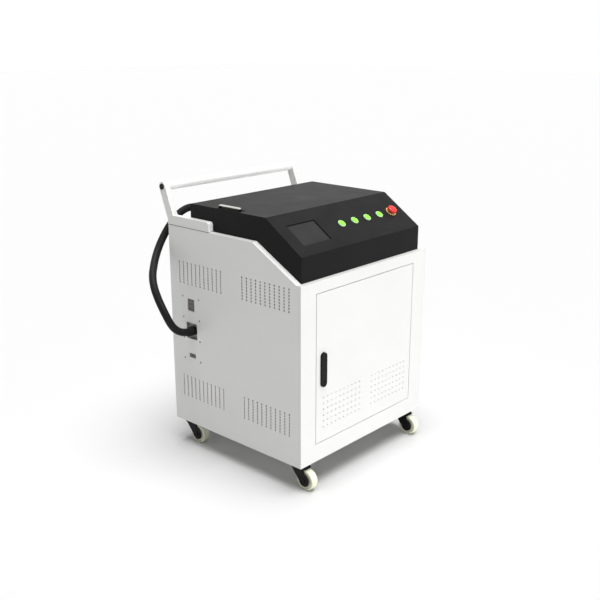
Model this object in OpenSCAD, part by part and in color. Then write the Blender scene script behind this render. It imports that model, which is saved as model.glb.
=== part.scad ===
/* [Cabinet] */
// Cabinet width, left to right
cab_w = 700; // [640:5:900]
// Cabinet depth, front to rear
cab_d = 650; // [600:5:900]
// Height of the front above the cabinet's underside
front_h = 650; // [620:5:800]
// Further rise from the front's height to the rear deck
rear_rise = 112; // [90:1:150]
// Flat stretch of the side panel in front of its slope
ledge_d = 20; // [16:1:40]
// Horizontal run of the side panel's slope
slope_run = 199; // [160:1:260]
// Sheet thickness of the panels
sheet_t = 2; // [1.5:0.1:3]
// Width of the side panels' turned-in flanges
flange_w = 23.5; // [18:0.5:32]

/* [Console] */
// Height of the black front band
band_h = 88; // [70:1:120]
// Horizontal run of the sloped control face
console_run = 161; // [130:1:200]
// Height of the lid above the rear deck
lid_rise = 85; // [70:1:110]
// Setback of the band behind the cabinet's front
band_setback = 19; // [12:1:30]
// Depth of the rear deck behind the console
deck_d = 98; // [80:1:130]
// Sheet thickness of the console
console_t = 2.5; // [1.5:0.1:4]
// Gap between the console and the side panels
console_gap = 0.5; // [0.3:0.1:2]

/* [Screen and buttons] */
// Screen window width
screen_w = 139; // [100:1:160]
// Screen window height along the slope
screen_h = 97; // [70:1:120]
// Screen's left edge from the console's left side
screen_x = 54; // [30:1:80]
// Screen's lower edge from the foot of the slope
screen_s = 44; // [25:1:60]
// Depth of the glass below the slope
screen_recess = 5; // [2:0.5:8]
// Stop switch's centre from the console's right side
stop_x = 69; // [50:1:80]
// First button's centre from the screen's right edge
button_gap = 104; // [60:1:120]
// Row of buttons from the foot of the slope
button_s = 96; // [70:1:120]
// Outer radius of a button's bezel
bezel_r = 15; // [13:0.5:18]
// Travel of a button
button_travel = 2.5; // [1:0.1:4]
// Radius of the stop switch's head
stop_r = 18.5; // [15:0.5:21]
// Travel of the stop switch
stop_travel = 4; // [2:0.5:6]

/* [Door] */
// Door width
door_w = 544; // [440:2:560]
// Door height
door_h = 540; // [440:2:560]
// Lower edge of the door above the cabinet's underside
door_z = 67; // [50:1:80]
// Gap round the door
door_gap = 2.4; // [1.5:0.1:4]
// Depth of the door's returns
door_return = 18; // [14:1:30]
// Length of the flush latch
latch_l = 125; // [100:1:160]
// Width of the flush latch
latch_w = 28; // [26:1:40]
// Latch's centre from the door's left edge
latch_x = 35; // [28:1:60]
// Latch's centre above the door's lower edge
latch_z = 267; // [200:1:320]
// How far the latch stands proud of the door
latch_proud = 7; // [4:0.5:10]

/* [Vents] */
// Radius of a vent hole
vent_r = 3.2; // [1.5:0.1:3.5]
// Vent columns in a side patch
side_cols = 11; // [6:1:12]
// Vent rows in a side patch
side_rows = 8; // [4:1:10]
// Spacing of the side vents' columns
side_col_pitch = 21.9; // [16:0.1:23]
// Spacing of the side vents' rows
side_row_pitch = 11; // [9:0.5:13]
// Vent columns in a door patch
door_cols = 10; // [6:1:10]
// Vent rows in a door patch
door_rows = 6; // [4:1:8]
// Spacing of the door's vents
door_pitch = 22; // [16:0.5:23]

/* [Connector panel] */
// Centre line of the connectors behind the cabinet's middle
port_y = 217; // [190:1:225]
// Breaker's centre above the cabinet's underside
breaker_z = 475; // [440:1:500]
// Hose port's centre above the cabinet's underside
hose_port_z = 375; // [360:1:400]
// Data port's centre above the cabinet's underside
data_z = 278; // [250:1:300]
// Breaker window width
breaker_w = 36; // [30:1:54]
// Breaker window height
breaker_h = 45; // [40:1:50]
// Width of the hose port's dish
dish_w = 58; // [50:1:70]
// Height of the hose port's dish
dish_h = 62; // [50:1:70]
// Depth of the hose port's dish
dish_depth = 14; // [8:1:20]
// Horizontal spacing of the connector plate's screws
plate_screw_w = 87; // [80:1:100]
// Vertical spacing of the connector plate's screws
plate_screw_h = 80.5; // [70:0.5:84]

/* [Push handle] */
// Width of the handle's arms, left to right
arm_w = 23; // [18:1:23]
// Width of an arm seen from the side
arm_d = 32; // [26:1:40]
// Height of the foot along the panel's top
foot_h = 35; // [28:1:45]
// Length of the foot
foot_l = 217; // [170:1:240]
// Reach of the cross bar's axis behind the cabinet
bar_reach = 27; // [10:1:50]
// Height of the cross bar's axis above the deck
bar_rise = 134; // [100:1:200]
// Outer radius of the cross bar
bar_r = 16; // [13:0.5:19]
// Wall of the cross bar
bar_wall = 2; // [1.5:0.1:4]

/* [Casters] */
// Overall height of a caster
caster_h = 97; // [92:1:110]
// Radius of a wheel
wheel_r = 37.5; // [32:0.5:38]
// Width of a wheel's tread
wheel_w = 28; // [22:1:32]
// Offset of the axle from the swivel axis
caster_trail = 35; // [30:1:42]
// Swivel axes' distance from the cabinet's middle, left to right
caster_x = 303; // [280:1:306]
// Swivel axes' distance from the cabinet's middle, front to rear
caster_y = 278; // [250:1:282]
// Radius of a wheel's axle
axle_r = 4; // [3:0.5:5]
// Radial clearance of a turning shaft
shaft_gap = 0.05; // [0.02:0.01:0.1]

/* [Hose and head] */
// Outer radius of the hose
hose_r = 14; // [12:0.5:14.2]
// Radius of the hose coil's outer turn
coil_r = 182; // [178:1:186]
// Spacing of the coil's turns
coil_pitch = 29; // [28.8:0.1:29.5]
// Turns in each layer of the coil
coil_turns = 1.75; // [1.75:1:1.75]
// Rear reach of the storage bracket
bracket_reach = 73; // [70:1:90]

/* [Cooling] */
// Radius of the fan's opening
fan_r = 86; // [60:1:92]
// Fan's centre to the right of the cabinet's middle
fan_x = 165; // [120:1:190]
// Fan's centre above the cabinet's underside
fan_z = 165; // [130:1:190]
// Depth of the fan's frame
fan_depth = 42; // [30:1:60]
// Number of fan blades
fan_blades = 7; // [5:1:9]

/* [Hidden] */

$fn = 48;
// Fineness of small round parts
small_fn = 24;
// Overrun of every cut
cut = 1;
// Gap between separate pieces that don't run on each other
fit_gap = 0.3;

// Frame of the cabinet: x from its middle, y from its middle, z from the floor
floor_z = caster_h;
front_y = -cab_d / 2;
rear_y = cab_d / 2;
front_top = floor_z + front_h;
deck_top = front_top + rear_rise;
panel_angle = atan2(rear_rise, slope_run);
slope_foot_y = front_y + ledge_d;
slope_head_y = slope_foot_y + slope_run;

// Console
cover_w = cab_w - 2 * (flange_w + console_gap);
cover_front = front_y + band_setback;
cover_rear = rear_y - deck_d;
band_top = front_top + band_h;
lid_top = deck_top + lid_rise;
face_angle = atan2(lid_top - band_top, console_run);
face_head_y = cover_front + console_run;
skirt_drop = 10;
button_x = screen_x + screen_w + button_gap;
// The buttons share the room between the first of them and the stop switch evenly
button_pitch = (cover_w - stop_x - button_x) / 4;

// The whole part is centred on its own footprint
mid_y = (rear_y + bracket_reach - max(cab_d / 2 + latch_proud, caster_y + caster_trail + wheel_r)) / 2;

// Colours
white_paint = [0.93, 0.93, 0.92];
black_paint = [0.11, 0.11, 0.115];
dark_plastic = [0.08, 0.08, 0.08];
steel = [0.65, 0.66, 0.68];
cream = [0.92, 0.93, 0.84];

function unit(v) = v / norm(v);

// A corner of an outline turned into an arc of radius r in n steps
function corner_arc(before, p, after, r, n) =
    let (u = unit(before - p), v = unit(after - p), half = acos(u * v) / 2,
         c = p + unit(u + v) * r / sin(half), s = p + u * r / tan(half) - c, e = p + v * r / tan(half) - c,
         a0 = atan2(s.y, s.x), turn = (atan2(e.y, e.x) - a0 + 540) % 360 - 180)
    [for (i = [0 : n]) c + r * [cos(a0 + turn * i / n), sin(a0 + turn * i / n)]];

// An outline whose corners have the radii in rs, 0 for a sharp one
function rounded(pts, rs, n = 6) =
    let (m = len(pts))
    [for (i = [0 : m - 1]) each (rs[i] > 0
        ? corner_arc(pts[(i + m - 1) % m], pts[i], pts[(i + 1) % m], rs[i], n) : [pts[i]])];

// Extrudes an outline drawn in (y, z) from x0 to the right
module along_x(x0, length) {
    translate([x0, 0, 0]) rotate([90, 0, 90]) linear_extrude(length) children();
}

// Extrudes an outline drawn in (x, z) from y0 to the rear
module along_y(y0, length) {
    translate([0, y0 + length, 0]) rotate([90, 0, 0]) linear_extrude(length) children();
}

// A box from its lowest corner and its size
module box_at(lo, size) {
    translate(lo) cube(size);
}

module centred_rect(w, h) {
    translate([-w / 2, -h / 2]) square([w, h]);
}

// Places a piece on the console's sloped face: u from its left side, s up the slope, z outwards
module on_face(u, s) {
    translate([u - cover_w / 2, cover_front + s * cos(face_angle), band_top + s * sin(face_angle)])
        rotate([face_angle, 0, 0]) children();
}

// Cabinet sheets

// Side outline in (y, z), inset by t, whose lower edge runs to z = low
function side_outline(t, low) =
    let (k = tan(panel_angle / 2), y0 = front_y + sheet_t + t, y1 = rear_y - sheet_t - t)
    [[y0, low], [y0, front_top - t], [slope_foot_y + t * k, front_top - t],
     [slope_head_y + t * k, deck_top - t], [y1, deck_top - t], [y1, low]];

side_patch_y = 163;
side_patch_low = 149;
side_patch_high = 593;

module side_vents() {
    for (y = [-side_patch_y, side_patch_y], z = [side_patch_low, side_patch_high],
         i = [0 : side_cols - 1], j = [0 : side_rows - 1])
        translate([y + (i - (side_cols - 1) / 2) * side_col_pitch,
                   floor_z + z + (j - (side_rows - 1) / 2) * side_row_pitch]) circle(r = vent_r, $fn = small_fn);
}

plate_screw_r = 2;
screw_head_r = 3.6;
screw_head_h = 1.8;
plate_margin = 9;
plate_rise = 6;
plate_mid_z = (breaker_z + data_z) / 2 + plate_rise;

function plate_screws() = [for (y = [-0.5, 0.5], j = [0 : 3])
    [port_y + y * plate_screw_w, floor_z + plate_mid_z + (j - 1.5) * plate_screw_h]];

// Windows of the connectors in (y, z), each larger than its piece by gap
data_w = 33;
data_h = 15;
data_flange = 4;
data_flange_t = 3;
module port_windows(gap) {
    translate([port_y, floor_z + breaker_z]) centred_rect(breaker_w + 2 * gap, breaker_h + 2 * gap);
    translate([port_y, floor_z + data_z]) centred_rect(data_w + 2 * gap, data_h + 2 * gap);
}

module side_sheet(x0, inward, ports) {
    web_x = inward > 0 ? x0 : x0 - sheet_t;
    band_x = inward > 0 ? x0 : x0 - flange_w;
    along_x(web_x, sheet_t) difference() {
        polygon(side_outline(0, floor_z));
        side_vents();
        if (ports) {
            port_windows(fit_gap + sheet_t / 4);
            translate([port_y, floor_z + hose_port_z]) centred_rect(dish_w, dish_h);
            for (p = plate_screws()) translate(p) circle(r = screw_head_r + fit_gap, $fn = small_fn);
        }
    }
    along_x(band_x, flange_w) difference() {
        polygon(side_outline(0, floor_z));
        polygon(side_outline(sheet_t, floor_z - cut));
    }
}

module left_panel() {
    color(white_paint) side_sheet(-cab_w / 2, 1, true);
}

module right_panel() {
    color(white_paint) side_sheet(cab_w / 2, -1, false);
}

tray_flange = 26;
caster_bolt_w = 56;
caster_bolt_r = 3;
caster_head_r = 5.5;
caster_head_h = 4;

module base_tray() {
    w = cab_w - 2 * sheet_t;
    d = cab_d - 4 * sheet_t;
    color(white_paint) difference() {
        box_at([-w / 2, -d / 2, floor_z], [w, d, tray_flange]);
        box_at([-w / 2 + sheet_t, -d / 2 + sheet_t, floor_z + sheet_t],
            [w - 2 * sheet_t, d - 2 * sheet_t, tray_flange]);
        for (sx = [-1, 1], sy = [-1, 1], bx = [-0.5, 0.5], by = [-0.5, 0.5])
            translate([sx * caster_x + bx * caster_bolt_w, sy * caster_y + by * caster_bolt_w, floor_z - cut])
                cylinder(r = caster_bolt_r + fit_gap, h = sheet_t + 2 * cut, $fn = small_fn);
    }
}

open_w = door_w + 2 * door_gap;
open_h = door_h + 2 * door_gap;
door_mid_z = floor_z + door_z + door_h / 2;
frame_return = 24;
frame_ledge = 40;
pivot_r = 2;
pivot_inset = 4;
pivot_x = door_w / 2 - pivot_inset;
pivot_depth = 4.5;
pivot_y = front_y + pivot_depth;

module front_frame() {
    color(white_paint) difference() {
        union() {
            along_y(front_y, sheet_t) difference() {
                translate([-cab_w / 2, floor_z]) square([cab_w, front_h]);
                translate([0, door_mid_z]) centred_rect(open_w, open_h);
            }
            along_y(front_y, frame_return) difference() {
                translate([0, door_mid_z]) centred_rect(open_w + 2 * sheet_t, open_h + 2 * sheet_t);
                translate([0, door_mid_z]) centred_rect(open_w, open_h);
            }
            box_at([-cover_w / 2, front_y, front_top - sheet_t], [cover_w, frame_ledge, sheet_t]);
        }
        for (s = [-1, 1])
            translate([pivot_x, pivot_y, door_mid_z + s * (open_h + sheet_t) / 2 - sheet_t])
                cylinder(r = pivot_r, h = 2 * sheet_t, $fn = small_fn);
    }
}

exhaust_cols = 11;
exhaust_rows = 8;
exhaust_x = -fan_x;

module rear_panel() {
    color(white_paint) along_y(rear_y - sheet_t, sheet_t) difference() {
        translate([-cab_w / 2, floor_z]) square([cab_w, front_h + rear_rise]);
        translate([fan_x, floor_z + fan_z]) circle(r = fan_r);
        for (i = [0 : exhaust_cols - 1], j = [0 : exhaust_rows - 1])
            translate([exhaust_x + (i - (exhaust_cols - 1) / 2) * side_col_pitch,
                       floor_z + fan_z + (j - (exhaust_rows - 1) / 2) * 2 * side_row_pitch])
                circle(r = vent_r, $fn = small_fn);
    }
}

deck_tuck = 16;
deck_step = 1.5;
deck_seat = deck_top - deck_step;

// The console stands on the deck's lower strip
module rear_deck() {
    y0 = cover_rear - deck_tuck;
    y1 = cover_rear + fit_gap;
    color(white_paint) {
        box_at([-cover_w / 2, y1, deck_top - sheet_t], [cover_w, rear_y - sheet_t - y1, sheet_t]);
        box_at([-cover_w / 2, y0, deck_seat - sheet_t], [cover_w, y1 + sheet_t - y0, sheet_t]);
        box_at([-cover_w / 2, y0, deck_top - deck_tuck], [cover_w, sheet_t, deck_tuck - deck_step]);
    }
}

// Console

edge_r = 3;

// Console outline in (y, z), inset by t
function cover_outline(t, low_front, low_rear) =
    [[cover_front + t, low_front], [cover_front + t, band_top - t * tan(45 - face_angle / 2)],
     [face_head_y + t * tan(face_angle / 2), lid_top - t], [cover_rear - t, lid_top - t],
     [cover_rear - t, low_rear]];

module console_side() {
    k = tan(panel_angle / 2);
    foot = [cover_front + frame_ledge / 2 + skirt_drop, front_top];
    head = [slope_head_y + skirt_drop * k, deck_top - skirt_drop];
    inner_y = cover_rear - deck_tuck - fit_gap;
    outline = concat([[cover_front, front_top], [cover_front, band_top], [face_head_y, lid_top],
        [cover_rear, lid_top], [cover_rear, deck_seat], [inner_y, deck_seat], [inner_y, deck_top - skirt_drop],
        head], [foot]);
    polygon(rounded(outline, [0, edge_r, edge_r, edge_r, 0, 0, 0, 0, 0], 4));
}

module console_cover() {
    color(black_paint) difference() {
        union() {
            for (x = [-cover_w / 2, cover_w / 2 - console_t]) along_x(x, console_t) console_side();
            along_x(-cover_w / 2, cover_w) difference() {
                polygon(rounded(concat(cover_outline(0, front_top, deck_seat), [[cover_rear - console_t, deck_seat],
                    [cover_front + console_t, front_top]]), [0, edge_r, edge_r, edge_r, 0, 0, 0], 4));
                polygon(cover_outline(console_t, front_top - cut, deck_seat - cut));
            }
        }
        for (y = [lift_y, lift_y + lift_l - lift_t])
            box_at([lift_x - lift_w / 2 - fit_gap, y - fit_gap, lid_top - 2 * console_t],
                [lift_w + 2 * fit_gap, lift_t + 2 * fit_gap, 3 * console_t]);
        on_face(screen_x, screen_s) box_at([0, 0, -2 * console_t], [screen_w, screen_h, 4 * console_t]);
        for (i = [0 : 4]) on_face(button_x + i * button_pitch, button_s)
            translate([0, 0, -2 * console_t]) cylinder(r = barrel_r + fit_gap, h = 4 * console_t);
    }
}

bezel_lip = 3;
bezel_depth = 12;

module screen_bezel() {
    color(dark_plastic) on_face(screen_x, screen_s) difference() {
        box_at([-bezel_lip, -bezel_lip, -console_t - bezel_depth],
            [screen_w + 2 * bezel_lip, screen_h + 2 * bezel_lip, bezel_depth]);
        box_at([0, 0, -screen_recess], [screen_w, screen_h, screen_recess]);
        box_at([bezel_lip, bezel_lip, -console_t - bezel_depth - cut],
            [screen_w - 2 * bezel_lip, screen_h - 2 * bezel_lip, bezel_depth + cut]);
    }
}

glass_t = 1.6;
display_depth = 14;
module screen_glass() {
    color([0.2, 0.2, 0.21]) on_face(screen_x, screen_s)
        box_at([fit_gap, fit_gap, -screen_recess],
            [screen_w - 2 * fit_gap, screen_h - 2 * fit_gap, glass_t]);
}

module display_module() {
    depth = bezel_depth + console_t - screen_recess + display_depth;
    color([0.25, 0.26, 0.28]) on_face(screen_x, screen_s)
        box_at([bezel_lip + fit_gap, bezel_lip + fit_gap, -screen_recess - depth],
            [screen_w - 2 * (bezel_lip + fit_gap), screen_h - 2 * (bezel_lip + fit_gap), depth]);
}

// Buttons

barrel_r = 11;
barrel_l = 16;
bezel_h = 3.5;
bezel_chamfer = 1.2;
cap_r = 11.1;
stem_r = 8.6;
cap_low = 3;
block_w = 28;
block_h = 34;
nut_r = 14.5;
nut_h = 4;

module bezel_shape() {
    rotate_extrude() polygon(concat(
        [[stem_r + fit_gap, -barrel_l], [barrel_r, -barrel_l], [barrel_r, -console_t - nut_h],
         [nut_r, -console_t - nut_h], [nut_r, -console_t], [barrel_r, -console_t], [barrel_r, 0],
         [bezel_r, 0], [bezel_r, bezel_h - bezel_chamfer]],
        [[bezel_r - bezel_chamfer, bezel_h], [cap_r + 2 * fit_gap, bezel_h], [cap_r + fit_gap, bezel_h - fit_gap],
         [cap_r + fit_gap, cap_low - button_travel - fit_gap],
         [stem_r + fit_gap, cap_low - button_travel - fit_gap]]));
}

module button_bezels() {
    color([0.85, 0.88, 0.85]) for (i = [0 : 3]) on_face(button_x + i * button_pitch, button_s) bezel_shape();
}

// Radii and heights of the cap's domed top as shares of its radius and rise
cap_shares = [[1, 0.5], [0.9125, 0.72], [0.65, 0.92], [0, 1]];
cap_rise = 2.5;
module button_cap(i) {
    color([0.45, 0.9, 0.3]) on_face(button_x + i * button_pitch, button_s) rotate_extrude() polygon(
        concat([[0, -barrel_l], [stem_r, -barrel_l], [stem_r, cap_low], [cap_r, cap_low]],
            [for (p = cap_shares) [cap_r * p[0], bezel_h + cap_rise * p[1]]]));
}

stop_ring_r = 21;
stop_ring_h = 2;
stop_bevel = 0.5;
stop_gap = stop_travel + stop_bevel;
stop_head_h = 13;
// Radii and heights of the stop head as shares of its radius and height
stop_shares = [[0.9, 0], [1, 0.2], [1, 0.45], [0.93, 0.68], [0.78, 0.84], [0.55, 0.94], [0.28, 0.99], [0, 1]];

module stop_ring() {
    color([0.78, 0.62, 0.25]) on_face(button_x + 4 * button_pitch, button_s) {
        rotate_extrude() polygon([[stem_r + fit_gap, -barrel_l], [barrel_r, -barrel_l],
            [barrel_r, -console_t - nut_h], [nut_r, -console_t - nut_h], [nut_r, -console_t],
            [barrel_r, -console_t], [barrel_r, 0], [stop_ring_r, 0], [stop_ring_r, stop_ring_h - stop_bevel],
            [stop_ring_r - stop_bevel, stop_ring_h], [stem_r + fit_gap, stop_ring_h]]);
    }
}

module stop_head() {
    base = stop_ring_h + stop_gap;
    color([0.85, 0.12, 0.1]) on_face(button_x + 4 * button_pitch, button_s) rotate_extrude() polygon(
        concat([[0, -barrel_l], [stem_r, -barrel_l], [stem_r, base]],
            [for (p = stop_shares) [stop_r * p[0], base + stop_head_h * p[1]]]));
}

// The switch bodies hang on the barrels behind the sloped face
module switch_blocks() {
    clear = barrel_l + max(button_travel, stop_travel) + fit_gap;
    color(dark_plastic) for (i = [0 : 4]) on_face(button_x + i * button_pitch, button_s) {
        difference() {
            translate([-block_w / 2, -block_w / 2, -clear - block_h])
                cube([block_w, block_w, block_h + clear - console_t - nut_h - fit_gap]);
            translate([0, 0, -clear]) cylinder(r = barrel_r, h = clear);
        }
    }
}

// Lift bar, whose legs go through the lid to pads on its underside
lift_l = 101;
lift_w = 9;
lift_h = 12.5;
lift_t = 4;
lift_inset = 15;
lift_x = lift_inset - cover_w / 2;
lift_y = -12;
lift_pad = 18;
lift_pad_t = 3;

module lift_bar() {
    low = lid_top - console_t - lift_pad_t;
    color(steel) {
        along_x(lift_x - lift_w / 2, lift_w) polygon(rounded(
            [[lift_y, low], [lift_y, lid_top + lift_h], [lift_y + lift_l, lid_top + lift_h],
             [lift_y + lift_l, low], [lift_y + lift_l - lift_t, low],
             [lift_y + lift_l - lift_t, lid_top + lift_h - lift_t],
             [lift_y + lift_t, lid_top + lift_h - lift_t], [lift_y + lift_t, low]],
            [0, lift_t, lift_t, 0, 0, lift_t / 3, lift_t / 3, 0], 5));
        for (y = [lift_y, lift_y + lift_l - lift_t])
            box_at([lift_x - lift_pad / 2, y + (lift_t - lift_pad) / 2, low], [lift_pad, lift_pad, lift_pad_t]);
    }
}

// Connector panel

module connector_plate() {
    w = plate_screw_w + 2 * plate_margin;
    h = 3 * plate_screw_h + 2 * plate_margin;
    x0 = -cab_w / 2 + sheet_t;
    color([0.55, 0.57, 0.54]) difference() {
        union() {
            along_x(x0, sheet_t) translate([port_y, floor_z + plate_mid_z]) centred_rect(w, h);
            along_x(x0, dish_depth) translate([port_y, floor_z + hose_port_z])
                centred_rect(dish_w + 2 * sheet_t, dish_h + 2 * sheet_t);
        }
        along_x(x0 - cut, dish_depth - sheet_t + cut) translate([port_y, floor_z + hose_port_z])
            centred_rect(dish_w, dish_h);
        along_x(x0 - cut, sheet_t + 2 * cut) port_windows(fit_gap);
        translate([x0, port_y, floor_z + hose_port_z]) rotate([0, 90, 0])
            cylinder(r = gland_thread_r, h = dish_depth + cut);
        for (p = plate_screws()) translate([x0 - cut, p.x, p.y]) rotate([0, 90, 0])
            cylinder(r = plate_screw_r, h = sheet_t + 2 * cut, $fn = small_fn);
    }
}

module connector_screws() {
    color(steel) for (p = plate_screws()) translate([-cab_w / 2, p.x, p.y]) rotate([0, 90, 0]) difference() {
        union() {
            translate([0, 0, sheet_t - screw_head_h]) cylinder(r = screw_head_r, h = screw_head_h, $fn = small_fn);
            translate([0, 0, sheet_t]) cylinder(r = plate_screw_r, h = 4 * sheet_t, $fn = small_fn);
        }
        translate([-screw_head_r / 6, -screw_head_r, -cut]) cube([screw_head_r / 3, 2 * screw_head_r, 1.6 * cut]);
    }
}

breaker_depth = 62;
breaker_shoulder = 84;
breaker_face = -cab_w / 2 + 1.25 * sheet_t;
toggle_r = 9;
toggle_sink_share = 0.5;
toggle_x = breaker_face + toggle_r * toggle_sink_share;
toggle_l = 10;
toggle_t = 4;
toggle_w = 26;
toggle_tilt = 28;

module breaker_body() {
    shoulder_x = -cab_w / 2 + 2 * sheet_t;
    color([0.27, 0.24, 0.23]) difference() {
        union() {
            along_x(breaker_face, breaker_depth) translate([port_y, floor_z + breaker_z])
                centred_rect(breaker_w - fit_gap, breaker_h - fit_gap);
            along_x(shoulder_x, breaker_face + breaker_depth - shoulder_x) translate([port_y, floor_z + breaker_z])
                centred_rect(breaker_w - fit_gap, breaker_shoulder);
        }
        translate([toggle_x, port_y - toggle_w / 2 - fit_gap, floor_z + breaker_z])
            rotate([-90, 0, 0]) cylinder(r = toggle_r + fit_gap, h = toggle_w + 2 * fit_gap);
    }
}

// The lever points down when the breaker is off
module breaker_toggle() {
    color(dark_plastic) translate([toggle_x, port_y - toggle_w / 2, floor_z + breaker_z]) {
        intersection() {
            rotate([-90, 0, 0]) cylinder(r = toggle_r, h = toggle_w);
            translate([-toggle_r * toggle_sink_share, 0, -toggle_r])
                cube([2 * toggle_r, toggle_w, 2 * toggle_r]);
        }
        rotate([0, -toggle_tilt, 0]) translate([-toggle_l, 0, -toggle_t / 2])
            cube([toggle_l, toggle_w, toggle_t]);
    }
}

module data_port() {
    x0 = -cab_w / 2 + sheet_t / 2;
    color([0.3, 0.31, 0.32]) translate([0, port_y, floor_z + data_z]) {
        along_x(x0, 1.5 * sheet_t + 2 * data_flange) centred_rect(data_w - 2 * fit_gap, data_h - 2 * fit_gap);
        along_x(-cab_w / 2 + 2 * sheet_t, data_flange_t)
            centred_rect(data_w + 2 * data_flange, data_h + 2 * data_flange_t);
    }
}

// Push handle

bar_y = rear_y + bar_reach;
bar_z = deck_top + bar_rise;
foot_overhang = 2;
foot_y0 = rear_y - foot_l + foot_overhang;
foot_fillet = 10;
arm_fillet = 4;
arm_wall = 3;
lean = atan2(bar_reach + arm_d / 2, bar_rise - foot_h / 2);
bolt_r = 5;
plug_r = 10.5;
plug_h = 3;
plug_proud = 3;
plug_gap = 0.1;
bolt_grip = 10;
bar_end = 12;

// Arm and foot in (y, z); the arm's round top is coaxial with the cross bar
module arm_outline() {
    up = [sin(lean), cos(lean)];
    side = [cos(lean), -sin(lean)];
    top = [bar_y, bar_z];
    back = top + side * arm_d / 2;
    face = top - side * arm_d / 2;
    rear_end = rear_y + foot_overhang;
    back_foot = back - up * (back.y - deck_top - foot_h / 2) / cos(lean);
    face_foot = face - up * (face.y - deck_top - foot_h) / cos(lean);
    pts = [[foot_y0, deck_top], [foot_y0, deck_top + foot_h], face_foot, face, back, back_foot,
        [rear_end, deck_top + foot_h / 4], [rear_end, deck_top]];
    polygon(rounded(pts, [0, foot_fillet, arm_fillet, 0, 0, 0, 0, 0], 6));
    translate(top) circle(r = arm_d / 2);
}

module handle_arms() {
    color(white_paint) for (s = [-1, 1]) difference() {
        along_x(s > 0 ? cab_w / 2 - arm_w : -cab_w / 2, arm_w) arm_outline();
        translate([s * cab_w / 2, bar_y, bar_z]) rotate([0, -s * 90, 0]) {
            translate([0, 0, -cut]) cylinder(r = plug_r + plug_gap, h = plug_h + cut);
            cylinder(r = bolt_r + plug_gap, h = arm_w + cut);
        }
        box_at([s * (cab_w - arm_w) / 2 - arm_w / 2 + arm_wall, foot_y0 + arm_wall, deck_top - cut],
            [arm_w - 2 * arm_wall, foot_l - arm_d, foot_h - arm_wall + cut]);
    }
}

module handle_bar() {
    l = cab_w - 2 * arm_w;
    color(white_paint) translate([-l / 2, bar_y, bar_z]) rotate([0, 90, 0]) difference() {
        cylinder(r = bar_r, h = l);
        translate([0, 0, bar_end]) cylinder(r = bar_r - bar_wall, h = l - 2 * bar_end);
        translate([0, 0, -cut]) cylinder(r = bolt_r, h = l + 2 * cut);
    }
}

module handle_plugs() {
    color(dark_plastic) for (s = [-1, 1]) translate([s * cab_w / 2, bar_y, bar_z]) rotate([0, -s * 90, 0]) {
        translate([0, 0, -plug_proud]) cylinder(r = plug_r, h = plug_h + plug_proud);
        cylinder(r = bolt_r - shaft_gap, h = arm_w + bolt_grip);
    }
}

// Door

door_patch_inset = 35.5;
door_patch_z = 53;
latch_cut_side = 4;
latch_cut_end = 8;

module door_panel() {
    x0 = -door_w / 2;
    patch = (door_cols - 1) * door_pitch / 2 + door_patch_inset;
    color(white_paint) difference() {
        union() {
            along_y(front_y, sheet_t) difference() {
                translate([0, door_mid_z]) centred_rect(door_w, door_h);
                for (s = [-1, 1], i = [0 : door_cols - 1], j = [0 : door_rows - 1])
                    translate([s * patch + (i - (door_cols - 1) / 2) * door_pitch,
                               floor_z + door_z + door_patch_z + j * door_pitch]) circle(r = vent_r, $fn = small_fn);
                translate([x0 + latch_x, floor_z + door_z + latch_z])
                    centred_rect(latch_w - 2 * latch_cut_side, latch_l - 2 * latch_cut_end);
            }
            along_y(front_y, door_return) difference() {
                translate([0, door_mid_z]) centred_rect(door_w, door_h);
                translate([0, door_mid_z]) centred_rect(door_w - 2 * sheet_t, door_h - 2 * sheet_t);
            }
        }
        for (s = [-1, 1]) translate([pivot_x, pivot_y, door_mid_z + s * door_h / 2 - 1.5 * sheet_t])
            cylinder(r = pivot_r + shaft_gap, h = 3 * sheet_t, $fn = small_fn);
    }
}

pin_l = 12;
pin_head_h = 2;
pin_head_share = 1.2;
module door_pins() {
    color(steel) for (s = [-1, 1]) translate([pivot_x, pivot_y, door_mid_z + s * (open_h / 2 + sheet_t)]) {
        translate([0, 0, s > 0 ? -pin_l : 0]) cylinder(r = pivot_r, h = pin_l, $fn = small_fn);
        translate([0, 0, s > 0 ? 0 : -pin_head_h])
            cylinder(r = pin_head_share * pivot_r, h = pin_head_h, $fn = small_fn);
    }
}

latch_cx = -door_w / 2 + latch_x;
latch_cz = floor_z + door_z + latch_z;
paddle_side = 5;
paddle_end = 11;
paddle_w = latch_w - 2 * paddle_side;
paddle_l = latch_l - 2 * paddle_end;
paddle_t = 3;
paddle_sink = 0.5;
finger_depth = 1;
cam_r = 3;
cam_l = 44;
cam_w = 14;
cam_hub_r = 11;
cam_t = 3;
cam_y = front_y + frame_return + 2 * fit_gap;

module stadium(w, l) {
    square([w, l - w], center = true);
    for (s = [-1, 1]) translate([0, s * (l - w) / 2]) circle(r = w / 2);
}

paddle_y = front_y - latch_proud + paddle_t / 2 + paddle_sink;
paddle_pin_z = latch_cz + (paddle_l - paddle_w) / 2;
paddle_pin_r = 1.2;
paddle_pin_out = 2.5;
latch_pocket = 4;
latch_depth = 14;
latch_boss_r = 8;
latch_play = 0.5;

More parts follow.
